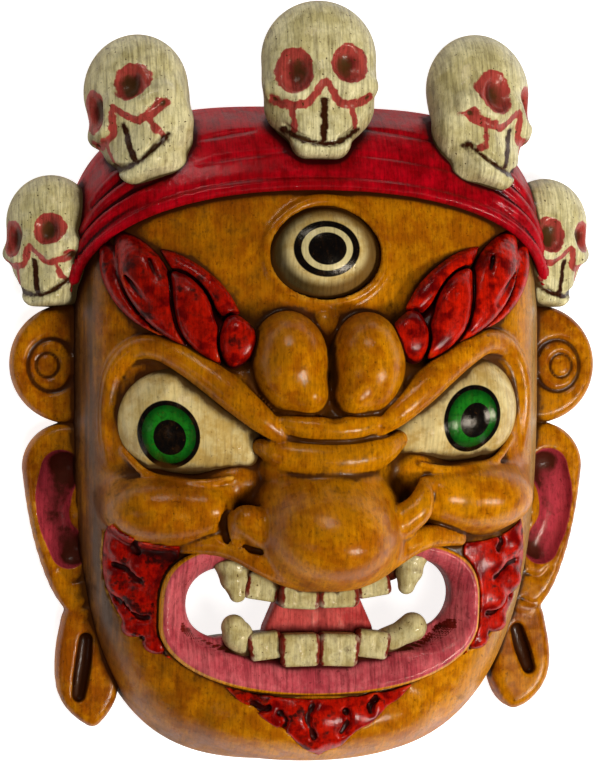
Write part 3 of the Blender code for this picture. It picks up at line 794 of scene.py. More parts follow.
def carve_ear(clay, side):
    """A plate ear: scroll disc, long shell with a hollow, and a slit lobe."""
    for outline, thickness in ((EAR_DISC, EAR_THICKNESS), (smooth_path(EAR_SHELL, 3), EAR_THICKNESS),
                               (smooth_path(LOBE_NECK + LOBE_FOOT[side], 3), EAR_THICKNESS - 1.0)):
        clay.add(plate_of(mirrored(outline, side), 0.0, thickness, EAR_ROUNDING), 1.0)
    top = EAR_THICKNESS
    for curl in ear_scroll(top + 0.3):
        clay.cut(roll_of(mirrored(curl, side)), 1.0)
    hollow = [(x, y, top + 1.5, radius + 0.3) for x, y, radius in smooth_path(EAR_HOLLOW, 4)]
    clay.cut(roll_of(mirrored(hollow, side)), 1.2)
    clay.add(ball((side * EAR_KNOB[0], EAR_KNOB[1], 19.0), (5.5, 8.5, 7.0)), 1.2)
    for nick in EAR_NICKS:
        clay.cut(roll_of([(side * x, y, top + 0.4, 1.5) for x, y in smooth_path(nick, 4)]), 1.0)
    slit = [(x, y, top - 2.3, radius) for x, y, radius in LOBE_SLIT[side]]
    clay.cut(roll_of(smooth_path(mirrored(slit, side), 4)), 1.0)


print("beard curls", 2 * len(SIDE_CURLS) + len(CHIN_CURLS), "brow leaves", 2 * len(BROW_LEAVES))

# %% [markdown]
# ## Skulls, teeth and tongue
# The five skulls of the crown are one carving in their own small space, repeated later
# with a different lean and size. Teeth are repeated in the same way: one tooth, two rows.
# Only the fangs and tusks are different, so they get their own carving with the tongue.

# %% One skull
SKULL_REACH = 30.0
SKULL_LINE = ((-22.0, -12.5, 8.0), (-17.0, -15.5, 13.0), (-8.0, -16.0, 18.5), (-3.5, -12.0, 20.5),
              (1.0, -6.5, 21.0), (5.5, -12.0, 20.5), (9.5, -16.0, 18.5), (17.0, -14.5, 13.0),
              (22.0, -11.5, 8.0))
SKULL_DIVIDERS = (((-13.5, -16.5, 14.5), (-12.5, -27.0, 14.5)), ((0.7, -14.5, 20.0), (0.7, -31.5, 19.0)),
                  ((13.0, -15.5, 15.0), (15.5, -25.5, 11.5)))
SKULL_CREASE = ((-17.0, -25.5, 10.0), (-11.0, -30.5, 14.0), (-2.7, -33.0, 16.5), (7.3, -32.5, 16.0),
                (17.0, -25.5, 10.0))
SOCKETS = ((-12.8, -0.8, 8.0, 10.0), (12.4, 2.4, 8.0, 8.6))
SKULL_BALLS = (((0.0, 8.0, -2.0), (26.3, 26.5, 22.0), 2.0), ((0.0, -4.0, 0.0), (26.0, 17.5, 19.5), 4.0),
               ((0.0, -14.0, -1.5), (25.2, 18.5, 17.0), 3.0))
JAW_BLOCKS = (((0.0, -20.0, -1.0), (17.5, 12.0, 15.5), 9.0), ((0.0, -28.0, 1.0), (13.5, 11.0, 14.5), 7.0))
CHEEKBONES = ((-21.0, -8.0, 8.0, 5.0), (-11.0, -9.5, 14.5, 5.5), (0.5, -3.0, 17.0, 4.5),
              (12.0, -9.0, 14.5, 5.5), (21.0, -6.5, 8.0, 5.0))


def carve_skull(clay):
    """A squat skull: round brow, deep sockets, a step over the teeth, small chin."""
    for centre, radii, soft in SKULL_BALLS:
        clay.add(ball(centre, radii), soft)
    for centre, half, rounding in JAW_BLOCKS:
        clay.add(block(centre, half, rounding), 3.0)
    clay.add(roll_of(CHEEKBONES), 4.0)
    for x, y, wide, tall in SOCKETS:
        clay.cut(ball((x, y, 20.5), (wide, tall, 7.5)), 2.0)
    clay.cut(roll_of([(x, y - 0.8, z + 2.0, 1.9) for x, y, z in smooth_path(SKULL_LINE, 3)]), 1.2)
    for line in SKULL_DIVIDERS:
        clay.cut(roll_of([(x, y, z + 0.8, 1.3) for x, y, z in line]), 1.0)
    clay.cut(roll_of([(x, y, z - 0.5, 2.2) for x, y, z in smooth_path(SKULL_CREASE, 3)]), 1.2)
    clay.cut(block((0.0, 0.0, -26.0), (40.0, 60.0, 6.0), 1.0), 1.0)


# %% Tooth, fangs and tongue
TOOTH_HALF = (9.2, 7.6, 7.5)


def carve_tooth(clay):
    """One flat-faced tooth with soft corners, a little wider at the biting edge."""
    clay.add(block((0.0, 0.0, 0.0), TOOTH_HALF, 2.6), 1.0)
    clay.add(block((0.0, -2.5, 0.5), (TOOTH_HALF[0] + 0.4, 4.5, TOOTH_HALF[2]), 2.4), 2.0)
    clay.cut(roll_of([(-1.5, 3.0, 8.6, 0.8), (-1.2, -5.0, 8.6, 0.9)]), 1.2)


FANG = ((43.5, -86.0, 63.0, 8.5), (43.0, -93.0, 66.0, 7.0), (41.5, -100.5, 67.0, 4.2))
TUSKS = {-1: ((-37.0, -127.5, 57.0, 7.0), (-40.5, -122.5, 60.0, 7.6), (-42.5, -118.5, 61.0, 6.2)),
         1: ((33.5, -126.5, 57.0, 6.6), (39.5, -123.0, 60.0, 6.0), (45.5, -119.5, 61.5, 7.2))}


def carve_fangs(clay):
    """Upper fangs point down, lower tusks lean outwards and up."""
    for side in (-1, 1):
        clay.add(roll_of(on_side(FANG, side, 0.5)), 1.0)
        clay.add(ball((side * FANG[0][0], FANG[0][1] + 0.5 * side * SIDE_DROP, 66.0), (9.5, 5.0, 7.0)), 2.5)
        clay.add(roll_of(TUSKS[side]), 2.5)


def carve_tongue(clay):
    """A broad flat tongue that widens towards the lower teeth, with a line down the middle."""
    corners = ((-12.0, -109.5), (-17.5, -122.0), (17.5, -122.0), (12.0, -109.5), (-12.0, -109.5))
    outline = [(x, y, 9.5) for x, y in corners]
    clay.add(plate_of(outline, 40.0, 58.5, 4.0), 1.0)
    clay.add(plate_of([(0.0, -116.0, 12.0), (0.0, -118.0, 12.0)], 40.0, 58.5, 4.0), 3.0)
    clay.cut(roll_of([(0.0, -105.0, 60.0, 1.6), (0.0, -120.0, 60.5, 1.8)]), 2.5)


print("skull lines", 2 + len(SKULL_DIVIDERS), "tooth width", 2 * TOOTH_HALF[0], "mm")

# %% [markdown]
# ## From clay to mesh
# A surface net puts one vertex in every grid cell that the surface passes through, at the
# average of the edge crossings, and one quad across every crossed grid edge. Two steps
# along the slope of the field then pull each vertex onto the true surface, which takes
# the stair pattern of the grid away. The back of the shell needs far fewer faces than the
# carved front, so its faces are thinned where nobody can see the difference.

# %% Surface net
def surface_net(clay):
    """Vertices and quads of the zero surface of a block of clay."""
    value = clay.value
    filled = value < 0.0
    cells = tuple(n - 1 for n in value.shape)
    count = np.zeros(cells, np.int8)
    for i in range(2):
        for j in range(2):
            for k in range(2):
                count += filled[i:i + cells[0], j:j + cells[1], k:k + cells[2]]
    active = (count > 0) & (count < 8)
    index = np.full(cells, -1, np.int64)
    spots = np.argwhere(active)
    index[active] = np.arange(len(spots))
    corner_values = {}
    for pick in np.ndindex(2, 2, 2):
        at = spots + pick
        corner_values[pick] = value[at[:, 0], at[:, 1], at[:, 2]].astype(float)
    total = np.zeros((len(spots), 3))
    crossings = np.zeros(len(spots))
    for axis in range(3):
        for other in np.ndindex(2, 2):
            start = list(other)
            start.insert(axis, 0)
            end = list(other)
            end.insert(axis, 1)
            a, b = corner_values[tuple(start)], corner_values[tuple(end)]
            crossed = (a < 0.0) != (b < 0.0)
            share = np.where(crossed, a / np.where(crossed, a - b, 1.0), 0.0)
            point = np.tile(np.array(start, float), (len(spots), 1))
            point[:, axis] = share
            total[crossed] += point[crossed]
            crossings += crossed
    points = (spots + total / crossings[:, None]) * clay.step + clay.low
    quads = []
    for axis in range(3):
        side, other = ((1, 2), (2, 0), (0, 1))[axis]
        low = [slice(1, -1)] * 3
        low[axis] = slice(0, -1)
        high = list(low)
        high[axis] = slice(1, None)
        here, there = filled[tuple(low)], filled[tuple(high)]
        edges = np.argwhere(here != there)
        outward = here[here != there]
        edges[:, side] += 1
        edges[:, other] += 1
        ring = []
        for da, db in ((1, 1), (0, 1), (0, 0), (1, 0)):
            at = edges.copy()
            at[:, side] -= da
            at[:, other] -= db
            ring.append(index[at[:, 0], at[:, 1], at[:, 2]])
        ring = np.stack(ring, axis=1)
        quads.append(ring[outward])
        quads.append(ring[~outward][:, ::-1])
    return points, np.vstack(quads)


def pull_onto_surface(clay, points, rounds=2):
    """Move points along the slope of the clay until they lie on its surface."""
    reach = 0.6 * clay.step
    for _ in range(rounds):
        slope = np.empty_like(points)
        for axis in range(3):
            offset = np.zeros(3)
            offset[axis] = reach
            slope[:, axis] = (clay.sample(points + offset) - clay.sample(points - offset)) / (2.0 * reach)
        size = np.maximum((slope ** 2).sum(axis=1), 0.15)
        move = slope * (clay.sample(points) / size)[:, None]
        points = points - np.clip(move, -0.5 * clay.step, 0.5 * clay.step)
    return points


def cast(clay, name, shift=SHIFT):
    """A smooth shaded object of the clay's surface, in metres."""
    points, quads = surface_net(clay)
    points = (pull_onto_surface(clay, points) + shift) * METRE
    mesh = bpy.data.meshes.new(name)
    mesh.from_pydata(points.tolist(), [], quads.tolist())
    mesh.validate()
    mesh.shade_smooth()
    piece = bpy.data.objects.new(name, mesh)
    bpy.context.scene.collection.objects.link(piece)
    return piece


def spots_of(piece, shift=SHIFT):
    """Vertex positions of a piece in millimetres, in the carver's frame."""
    flat = np.empty(3 * len(piece.data.vertices))
    piece.data.vertices.foreach_get("co", flat)
    return flat.reshape(-1, 3) / METRE - shift


def mark(piece, name, values):
    """Store one number at each vertex, for the paint to read."""
    layer = piece.data.attributes.new(name, "FLOAT", "POINT")
    layer.data.foreach_set("value", np.ascontiguousarray(values, np.float32))


def bake_modifiers(piece):
    """Turn the modifiers of a piece into plain mesh."""
    result = bpy.data.meshes.new_from_object(piece.evaluated_get(bpy.context.evaluated_depsgraph_get()))
    piece.modifiers.clear()
    piece.data = result
    result.shade_smooth()


def thin(piece, keep, hidden=None):
    """Collapse faces down to a share of them, only where `hidden` is true if it is given."""
    modifier = piece.modifiers.new("thin", "DECIMATE")
    modifier.ratio = keep
    if hidden is not None:
        group = piece.vertex_groups.new(name="back_side")
        group.add(np.nonzero(hidden)[0].tolist(), 1.0, "REPLACE")
        modifier.vertex_group = "back_side"
    bake_modifiers(piece)


def blurred(clay, width):
    """How full of wood the space around each grid point is, 0.5 on a flat surface."""
    full = np.clip(0.5 - clay.value / clay.step, 0.0, 1.0).astype(np.float32)
    cells = width / clay.step
    reach = int(math.ceil(2.5 * cells))
    weights = np.exp(-0.5 * (np.arange(-reach, reach + 1) / cells) ** 2)
    weights = (weights / weights.sum()).astype(np.float32)
    for axis in range(3):
        padded = np.pad(full, [(reach, reach) if i == axis else (0, 0) for i in range(3)], mode="edge")
        size = full.shape[axis]
        full = sum(w * np.take(padded, range(i, i + size), axis=axis) for i, w in enumerate(weights))
    soft = Clay(clay.low, clay.low + clay.step * (np.array(clay.value.shape) - 1), clay.step)
    soft.value = full
    return soft


print("surface net ready")

# %% [markdown]
# ## Casting the pieces
# Every piece is carved in its own block, so that it can be as fine as it needs to be and
# keep its own paint. One more, coarser block holds all of them together. It is never
# seen: it only tells the paint where neighbours crowd each other, because that is where
# dark glaze and dust collect and where painted shade goes.

# %% Placing a small carving in the big one
SKULLS = ((-0.5, 149.5, 61.0, -4.0, 0.0, 4.0, 1.07), (-88.0, 135.0, 48.0, -44.0, -24.0, 6.0, 1.04),
          (82.5, 136.0, 48.0, 42.0, 17.0, 8.0, 1.09), (-129.0, 72.0, 23.0, -40.0, -4.0, 0.0, 0.88),
          (122.0, 73.0, 23.0, 30.0, 8.0, 0.0, 0.88))
TOOTH_TILT = 0.035
TOOTH_SEED = 11
CROWN_SEED = 3
TEETH = ((-29.4, -98.4, 63.0, -9.0, 0.88), (-11.8, -101.1, 66.0, -3.0, 1.04),
         (7.0, -100.8, 66.0, 2.0, 1.04), (24.8, -97.2, 63.0, 9.0, 0.88),
         (-27.6, -127.8, 60.5, 188.0, 0.86), (-11.0, -129.6, 62.0, 182.0, 1.04),
         (8.0, -129.6, 62.0, 178.0, 1.04), (25.0, -127.6, 60.5, 172.0, 0.88))


def turned(out, lean_over, back):
    """Turn to the side, lean and tip back, as one matrix."""
    o, n, b = (math.radians(v) for v in (out, lean_over, back))
    yaw = np.array([[math.cos(o), 0, math.sin(o)], [0, 1, 0], [-math.sin(o), 0, math.cos(o)]])
    roll = np.array([[math.cos(n), math.sin(n), 0], [-math.sin(n), math.cos(n), 0], [0, 0, 1]])
    pitch = np.array([[1, 0, 0], [0, math.cos(b), math.sin(b)], [0, -math.sin(b), math.cos(b)]])
    return yaw @ roll @ pitch


def placed(small, centre, matrix, size):
    """A small block of clay as a form in the big one."""
    reach = 1.75 * size * np.abs(small.low).max()

    def field(x, y, z):
        x, y, z = np.broadcast_arrays(x, y, z)
        local = (np.stack((x.ravel(), y.ravel(), z.ravel()), axis=1) - centre) @ matrix / size
        outside = np.linalg.norm(local - np.clip(local, small.low, -small.low), axis=1)
        return ((small.sample(local) + outside) * size).reshape(x.shape).astype(np.float32)
    centre = np.array(centre, float)
    return centre - reach, centre + reach, field


# %% Carving all blocks
face = Clay((-124.0, -196.0, -3.0), (124.0, 140.0, 126.0), 1.3)
carve_face(face)
face.flatten_back()
inside_of_shell = dome(-WALL, HEAD_DEPTH - FRONT_WALL)
lips = Clay((-84.0, -158.0, 18.0), (84.0, -70.0, 86.0), 1.0)
carve_lips(lips)
lips.cut(inside_of_shell, 1.0)
beard = Clay((-112.0, -190.0, 14.0), (112.0, -62.0, 84.0), 1.1)
carve_beard(beard, face)
bed_for_beard(face)
band = Clay((-127.0, 40.0, -3.0), (127.0, 143.0, 84.0), 1.15)
carve_band(band)
band.flatten_back()
brows = Clay((-118.0, 0.0, 30.0), (118.0, 90.0, 100.0), 1.1)
for side in (-1, 1):
    carve_brow(brows, side)
flatten_brows(brows)
ears = {}
for side, name in ((-1, "ear_left"), (1, "ear_right")):
    middle = side * 122.0
    ears[name] = Clay((middle - 31.0, -174.0, -3.0), (middle + 31.0, 44.0, 30.0), 1.1)
    carve_ear(ears[name], side)
    ears[name].flatten_back()
eyes = Clay((-104.0, -52.0, 20.0), (104.0, 86.0, 88.0), 1.1)
for side in (-1, 1):
    eyes.add(eye_form(side), 6.0)
eyes.add(third_eye_form(), 1.0)
eyes.cut(inside_of_shell, 1.0)
skull = Clay((-SKULL_REACH, -42.0, -24.0), (SKULL_REACH, 42.0, 28.0), 1.0)
carve_skull(skull)
tooth = Clay((-11.0, -13.0, -11.0), (11.0, 13.0, 11.0), 0.7)
carve_tooth(tooth)
mouth_set = Clay((-60.0, -146.0, 36.0), (60.0, -74.0, 80.0), 0.9)
carve_fangs(mouth_set)
tongue = Clay((-34.0, -136.0, 36.0), (34.0, -96.0, 64.0), 0.9)
carve_tongue(tongue)
print("blocks carved:", [face.value.shape, band.value.shape, brows.value.shape, skull.value.shape])

# %% [markdown]
# ## Where glaze settles and shade is painted
# The amber varnish of such a mask is rubbed on and wiped off, so it stays dark in every
# cut and thin on every edge. The paint also uses this to put painted shade in the cuts and
# a painted highlight on the edges. Blurring "how full of wood is the space here" gives that
# for free: more than half full means a hollow, less than half full means an edge.

# %% All pieces together
whole = Clay((-156.0, -190.0, -6.0), (156.0, 192.0, 126.0), 2.0)


def same_form(clay):
    """A finished block as a form, for laying it into another block."""
    def field(x, y, z):
        x, y, z = np.broadcast_arrays(x, y, z)
        spots = np.stack((x.ravel(), y.ravel(), z.ravel()), axis=1)
        return clay.sample(spots).reshape(x.shape).astype(np.float32)
    high = clay.low + clay.step * (np.array(clay.value.shape) - 1)
    return clay.low + 4.1 * whole.step, high - 4.1 * whole.step, field


for block_of_clay in (face, lips, beard, band, brows, eyes, mouth_set, tongue, *ears.values()):
    whole.add(same_form(block_of_clay), 0.1)
for x, y, z, out, lean_over, back, size in SKULLS:
    whole.add(placed(skull, (x, y, z), turned(out, lean_over, back), size), 0.1)
for x, y, z, turn, size in TEETH:
    whole.add(placed(tooth, (x, y, z), lean(turn), size), 0.1)
nooks = blurred(whole, 2.6)
crowding = blurred(whole, 6.5)
print("wood in the whole mask", round(float((whole.value < 0).sum()) * whole.step ** 3 * 1e-6, 2), "litres")


def mark_crease(piece, clay, shift=SHIFT):
    """Store how deep in its own carving each vertex lies."""
    mark(piece, "crease", 2.0 * (blurred(clay, 1.8).sample(spots_of(piece, shift)) - 0.5))


def mark_neighbours(piece):
    """Store how crowded the space is, near and far, and how steep the surface is."""
    spots = spots_of(piece)
    normals = np.empty(3 * len(spots))
    piece.data.vertices.foreach_get("normal", normals)
    mark(piece, "nook", 2.0 * (nooks.sample(spots) - 0.5))
    mark(piece, "crowd", 2.0 * (crowding.sample(spots) - 0.5))
    mark(piece, "steep", 1.0 - normals.reshape(-1, 3)[:, 2])
    return spots


# %% Cast the single pieces
pieces = {"face_shell": cast(face, "face_shell")}
spots = spots_of(pieces["face_shell"])
hidden = dome(4.0 - WALL, HEAD_DEPTH - FRONT_WALL + 6.0)[2](*spots.T) < 0.0
hidden |= spots[:, 2] < 1.0
thin(pieces["face_shell"], 0.62, hidden)
thin(pieces["face_shell"], 0.70)
blocks = {"face_shell": face, "lips": lips, "beard": beard, "headband": band, "brows": brows,
          "eyeballs": eyes, "fangs": mouth_set, "tongue": tongue, **ears}
for name, clay in blocks.items():
    if name not in pieces:
        pieces[name] = cast(clay, name)
    mark_crease(pieces[name], clay)
    mark_neighbours(pieces[name])
print("faces", {name: len(piece.data.polygons) for name, piece in pieces.items()})

# %% [markdown]
# ## The crown of skulls and the rows of teeth
# Geometry Nodes repeat one carving over a handful of points. Each point carries its own
# turn and size. The group has named inputs, so the same group makes the crown and the
# teeth: the teeth get a slight tilt by chance, from a fixed seed, as hand work has.

# %% A group that repeats a carving
def repeat_group():
    """Geometry Nodes: put a carving on each point with the point's own turn and size."""
    group = bpy.data.node_groups.new("repeat_carving", "GeometryNodeTree")
    for name, kind in (("Points", "Geometry"), ("Carving", "Object"), ("Hand tilt", "Float"), ("Seed", "Int"),
                       ("Paint", "Material")):
        group.interface.new_socket(name, in_out="INPUT", socket_type="NodeSocket" + kind)
    group.interface.new_socket("Geometry", in_out="OUTPUT", socket_type="NodeSocketGeometry")

    def node(kind, **settings):
        made = group.nodes.new(kind)
        for key, value in settings.items():
            setattr(made, key, value)
        return made
    start, end = node("NodeGroupInput"), node("NodeGroupOutput")
    carving = node("GeometryNodeObjectInfo")
    turn = node("GeometryNodeInputNamedAttribute", data_type="FLOAT_VECTOR")
    turn.inputs["Name"].default_value = "turned_by"
    size = node("GeometryNodeInputNamedAttribute", data_type="FLOAT")
    size.inputs["Name"].default_value = "sized_by"
    lowest, highest = (node("ShaderNodeVectorMath", operation="SCALE") for _ in range(2))
    lowest.inputs[0].default_value = (-1.0, -1.0, -1.0)
    highest.inputs[0].default_value = (1.0, 1.0, 1.0)
    chance = node("FunctionNodeRandomValue", data_type="FLOAT_VECTOR")
    whole_turn = node("ShaderNodeVectorMath", operation="ADD")
    place = node("GeometryNodeInstanceOnPoints")
    real = node("GeometryNodeRealizeInstances")
    coat = node("GeometryNodeSetMaterial")
    for source, target in ((start.outputs["Carving"], carving.inputs["Object"]),
                           (start.outputs["Hand tilt"], lowest.inputs["Scale"]),
                           (start.outputs["Hand tilt"], highest.inputs["Scale"]),
                           (lowest.outputs[0], chance.inputs["Min"]),
                           (highest.outputs[0], chance.inputs["Max"]),
                           (start.outputs["Seed"], chance.inputs["Seed"]),
                           (turn.outputs["Attribute"], whole_turn.inputs[0]),
                           (chance.outputs["Value"], whole_turn.inputs[1]),
                           (start.outputs["Points"], place.inputs["Points"]),
                           (carving.outputs["Geometry"], place.inputs["Instance"]),
                           (whole_turn.outputs[0], place.inputs["Rotation"]),
                           (size.outputs["Attribute"], place.inputs["Scale"]),
                           (place.outputs["Instances"], real.inputs["Geometry"]),
                           (real.outputs["Geometry"], coat.inputs["Geometry"]),
                           (start.outputs["Paint"], coat.inputs["Material"]),
                           (coat.outputs["Geometry"], end.inputs["Geometry"])):
        group.links.new(source, target)
    return group


REPEAT = repeat_group()


def repeat_carving(name, carving, places, paint, tilt, seed):
    """A piece made of one carving repeated at places: x, y, z, turn matrix, size."""
    mesh = bpy.data.meshes.new(name)
    mesh.from_pydata([tuple((np.array(place[:3]) + SHIFT) * METRE) for place in places], [], [])
    mesh.attributes.new("turned_by", "FLOAT_VECTOR", "POINT")
    mesh.attributes.new("sized_by", "FLOAT", "POINT")
    for i, place in enumerate(places):
        mesh.attributes["turned_by"].data[i].vector = Matrix(place[3].tolist()).to_euler("XYZ")
        mesh.attributes["sized_by"].data[i].value = place[4]
    piece = bpy.data.objects.new(name, mesh)
    bpy.context.scene.collection.objects.link(piece)
    modifier = piece.modifiers.new("repeat", "NODES")
    modifier.node_group = REPEAT
    values = {"Carving": carving, "Hand tilt": tilt, "Seed": seed, "Paint": paint}
    for item in REPEAT.interface.items_tree:
        if item.in_out == "INPUT" and item.name in values:
            modifier[item.identifier] = values[item.name]
    bake_modifiers(piece)
    bpy.data.objects.remove(carving)
    return piece


print("group inputs", [item.name for item in REPEAT.interface.items_tree if item.in_out == "INPUT"])

# %% [markdown]
# ## Paint
# The colours are thin oil paint brushed over wood. Every finish is built from the same
# layers, as on the real mask: two tones laid unevenly, fine vertical brush streaks, dark
# glaze in the cuts, pale wear on the edges, flyspecks, and a glossy varnish that is rough
# where the glaze lies. On top of these the paint puts painted shade in the cuts, between
# pieces and on the left side, and a painted highlight on the edges. Patterns are measured
# in millimetres in the mask's own space.

# %% The paint box
def srgb(red, green, blue):
    """A colour as it is read off the object, 0 to 255, as the shader wants it."""
    return tuple(((v / 255.0) ** 2.2) for v in (red, green, blue)) + (1.0,)


class Paint:
    """A material built layer by layer."""

    def __init__(self, name):
        self.material = bpy.data.materials.new(name)
        self.material.use_nodes = True
        self.tree = self.material.node_tree
        self.shader = self.tree.nodes["Principled BSDF"]
        self.place = self.node("ShaderNodeTexCoord").outputs["Object"]

    def node(self, kind, **settings):
        """A new node in this material, with its settings."""
        made = self.tree.nodes.new(kind)
        for key, value in settings.items():
            setattr(made, key, value)
        return made

    def feed(self, target, source):
        """Connect a socket, or set a plain number or colour."""
        if isinstance(source, bpy.types.NodeSocket):
            self.tree.links.new(source, target)
        else:
            target.default_value = source

    def calc(self, operation, first, second=0.0):
        """One sum or product of two numbers."""
        made = self.node("ShaderNodeMath", operation=operation)
        self.feed(made.inputs[0], first)
        self.feed(made.inputs[1], second)
        return made.outputs[0]

    def levels(self, source, low, high, to_low=0.0, to_high=1.0):
        """Stretch the range low to high, softly, and clip outside it."""
        made = self.node("ShaderNodeMapRange", interpolation_type="SMOOTHSTEP")
        for i, value in enumerate((source, low, high, to_low, to_high)):
            self.feed(made.inputs[i], value)
        return made.outputs[0]

    def mix(self, share, first, second, kind="MIX"):
        """The first colour, covered by a share of the second."""
        made = self.node("ShaderNodeMix", data_type="RGBA", blend_type=kind, clamp_factor=True)
        self.feed(made.inputs[0], share)
        self.feed(made.inputs[6], first)
        self.feed(made.inputs[7], second)
        return made.outputs[2]

    def number(self, name):
        """A number that was stored at the vertices."""
        return self.node("ShaderNodeAttribute", attribute_name=name).outputs["Fac"]

    def position(self, axis):
        """Where a point lies along x (0), y (1) or z (2), in metres."""
        made = self.node("ShaderNodeSeparateXYZ")
        self.feed(made.inputs[0], self.place)
        return made.outputs[axis]

    def noise(self, size, stretch=(1.0, 1.0, 1.0), detail=3.0, offset=0.0, rough=0.5):
        """Cloudy noise with spots of the given size in millimetres."""
        scale = self.node("ShaderNodeMapping")
        self.feed(scale.inputs["Vector"], self.place)
        scale.inputs["Scale"].default_value = tuple(1000.0 * v / size for v in stretch)
        scale.inputs["Location"].default_value = (offset, 2.0 * offset, 3.0 * offset)
        made = self.node("ShaderNodeTexNoise")
        self.feed(made.inputs["Vector"], scale.outputs[0])
        made.inputs["Scale"].default_value = 1.0
        made.inputs["Detail"].default_value = detail
        made.inputs["Roughness"].default_value = rough
        return made.outputs["Fac"]

    def relief(self, height, strength=1.0):
        """Surface relief from a height in millimetres."""
        made = self.node("ShaderNodeBump")
        made.inputs["Strength"].default_value = strength
        made.inputs["Distance"].default_value = METRE
        self.feed(made.inputs["Height"], height)
        self.feed(self.shader.inputs["Normal"], made.outputs["Normal"])
        self.feed(self.shader.inputs["Coat Normal"], made.outputs["Normal"])


def brushed_paint(name, light, mid, glaze_and_shade_colour, wear_and_highlight, detail_layers=None, streak=0.35, gloss=0.19,
                  glaze_and_shade_amount=1.0, cloud_size=34.0, specks=0.5, mottle=0.22, grit=0.35,
                  sheen=(1.0, 0.80, 0.55, 1.0), left_shade=0.22):
    """Brushed oil paint under glaze and varnish, with painted shade in the cuts, between pieces and on the
    left, and a painted highlight on the edges; detail_layers paints lines before the glaze.
    """
    paint = Paint(name)
    clouds = paint.noise(cloud_size, detail=5.0, offset=1.3, rough=0.6)
    patches = paint.noise(6.5, detail=4.0, offset=4.1, rough=0.6)
    streaks = paint.noise(1.2, (1.0, 0.06, 0.06), 4.0, 7.7, 0.65)
    fine = paint.noise(0.8, detail=2.0, offset=9.2)
    tone = paint.calc("ADD", paint.calc("MULTIPLY", clouds, 0.55), paint.calc("MULTIPLY", patches, 0.45))
    colour = paint.mix(paint.levels(tone, 0.40, 0.60), mid, light)
    if detail_layers:
        colour = detail_layers(paint, colour)
    shade = paint.mix(paint.levels(streaks, 0.3, 0.62, 1.0, 0.0), (1.0, 1.0, 1.0, 1.0), glaze_and_shade_colour)
    colour = paint.mix(streak, colour, shade, "MULTIPLY")
    # Dark glaze and painted shade together: crease, nook and crowd darken every cut and every place where
    # pieces meet, with mottled glaze patches on top.
    crease, nook, crowd = paint.number("crease"), paint.number("nook"), paint.number("crowd")
    glaze_and_shade = paint.calc("ADD", paint.levels(crease, 0.08, 0.42), paint.levels(nook, 0.12, 0.50))
    glaze_and_shade = paint.calc("ADD", glaze_and_shade, paint.levels(crowd, 0.02, 0.44, 0.0, 0.95))
    glaze_and_shade = paint.calc("ADD", glaze_and_shade, paint.levels(patches, 0.45, 0.75, -0.14, 0.26))
    glaze_and_shade = paint.calc("ADD", glaze_and_shade, paint.levels(clouds, 0.46, 0.66, 0.0, mottle))
    glaze_and_shade = paint.calc("MULTIPLY", glaze_and_shade, glaze_and_shade_amount)
    # Painted shade: the whole mask darkens towards its left side, as if lit from the right.
    glaze_and_shade = paint.calc("ADD", glaze_and_shade, paint.levels(paint.position(0), 0.03, -0.10, 0.0, left_shade))
    colour = paint.mix(paint.levels(glaze_and_shade, 0.08, 1.1, 0.0, 0.94), colour, glaze_and_shade_colour)
    # Pale wear together with a painted highlight along the convex edges.
    edge = paint.calc("MULTIPLY", paint.levels(crease, -0.22, -0.52), paint.levels(patches, 0.42, 0.62))
    colour = paint.mix(paint.calc("MULTIPLY", edge, 0.55), colour, wear_and_highlight)
    grains = paint.noise(1.5, (1.0, 0.4, 0.4), 5.0, 5.7, 0.75)
    colour = paint.mix(paint.levels(grains, 0.47, 0.68, 0.0, grit), colour, glaze_and_shade_colour)
    speck = paint.levels(paint.noise(1.7, detail=1.0, offset=3.3), 0.70, 0.76)
    colour = paint.mix(paint.calc("MULTIPLY", speck, specks), colour, glaze_and_shade_colour)
    paint.feed(paint.shader.inputs["Base Color"], colour)
    rough = paint.calc("ADD", paint.levels(patches, 0.3, 0.7, gloss - 0.05, gloss + 0.12),
                       paint.levels(glaze_and_shade, 0.3, 1.2, 0.0, 0.25))
    rough = paint.calc("ADD", rough, paint.levels(paint.number("steep"), 0.3, 0.9, 0.0, 0.45))
    paint.feed(paint.shader.inputs["Roughness"], rough)
    gleam = paint.levels(paint.number("steep"), 0.25, 0.75, 0.14, 0.02)
    paint.feed(paint.shader.inputs["Coat Weight"], gleam)
    for socket, value in (("Coat Roughness", 0.07), ("Specular IOR Level", 0.14), ("Specular Tint", sheen)):
        paint.shader.inputs[socket].default_value = value
    height = paint.calc("ADD", paint.calc("MULTIPLY", streaks, 0.10), paint.calc("MULTIPLY", patches, 0.45))
    height = paint.calc("ADD", height, paint.calc("MULTIPLY", grains, 0.22))
    height = paint.calc("ADD", height, paint.calc("MULTIPLY", fine, 0.035))
    paint.relief(height, 0.55)
    return paint.material


# %% Layers of single finishes
BLACK = srgb(14, 12, 12)
OCHRE = srgb(208, 132, 4)


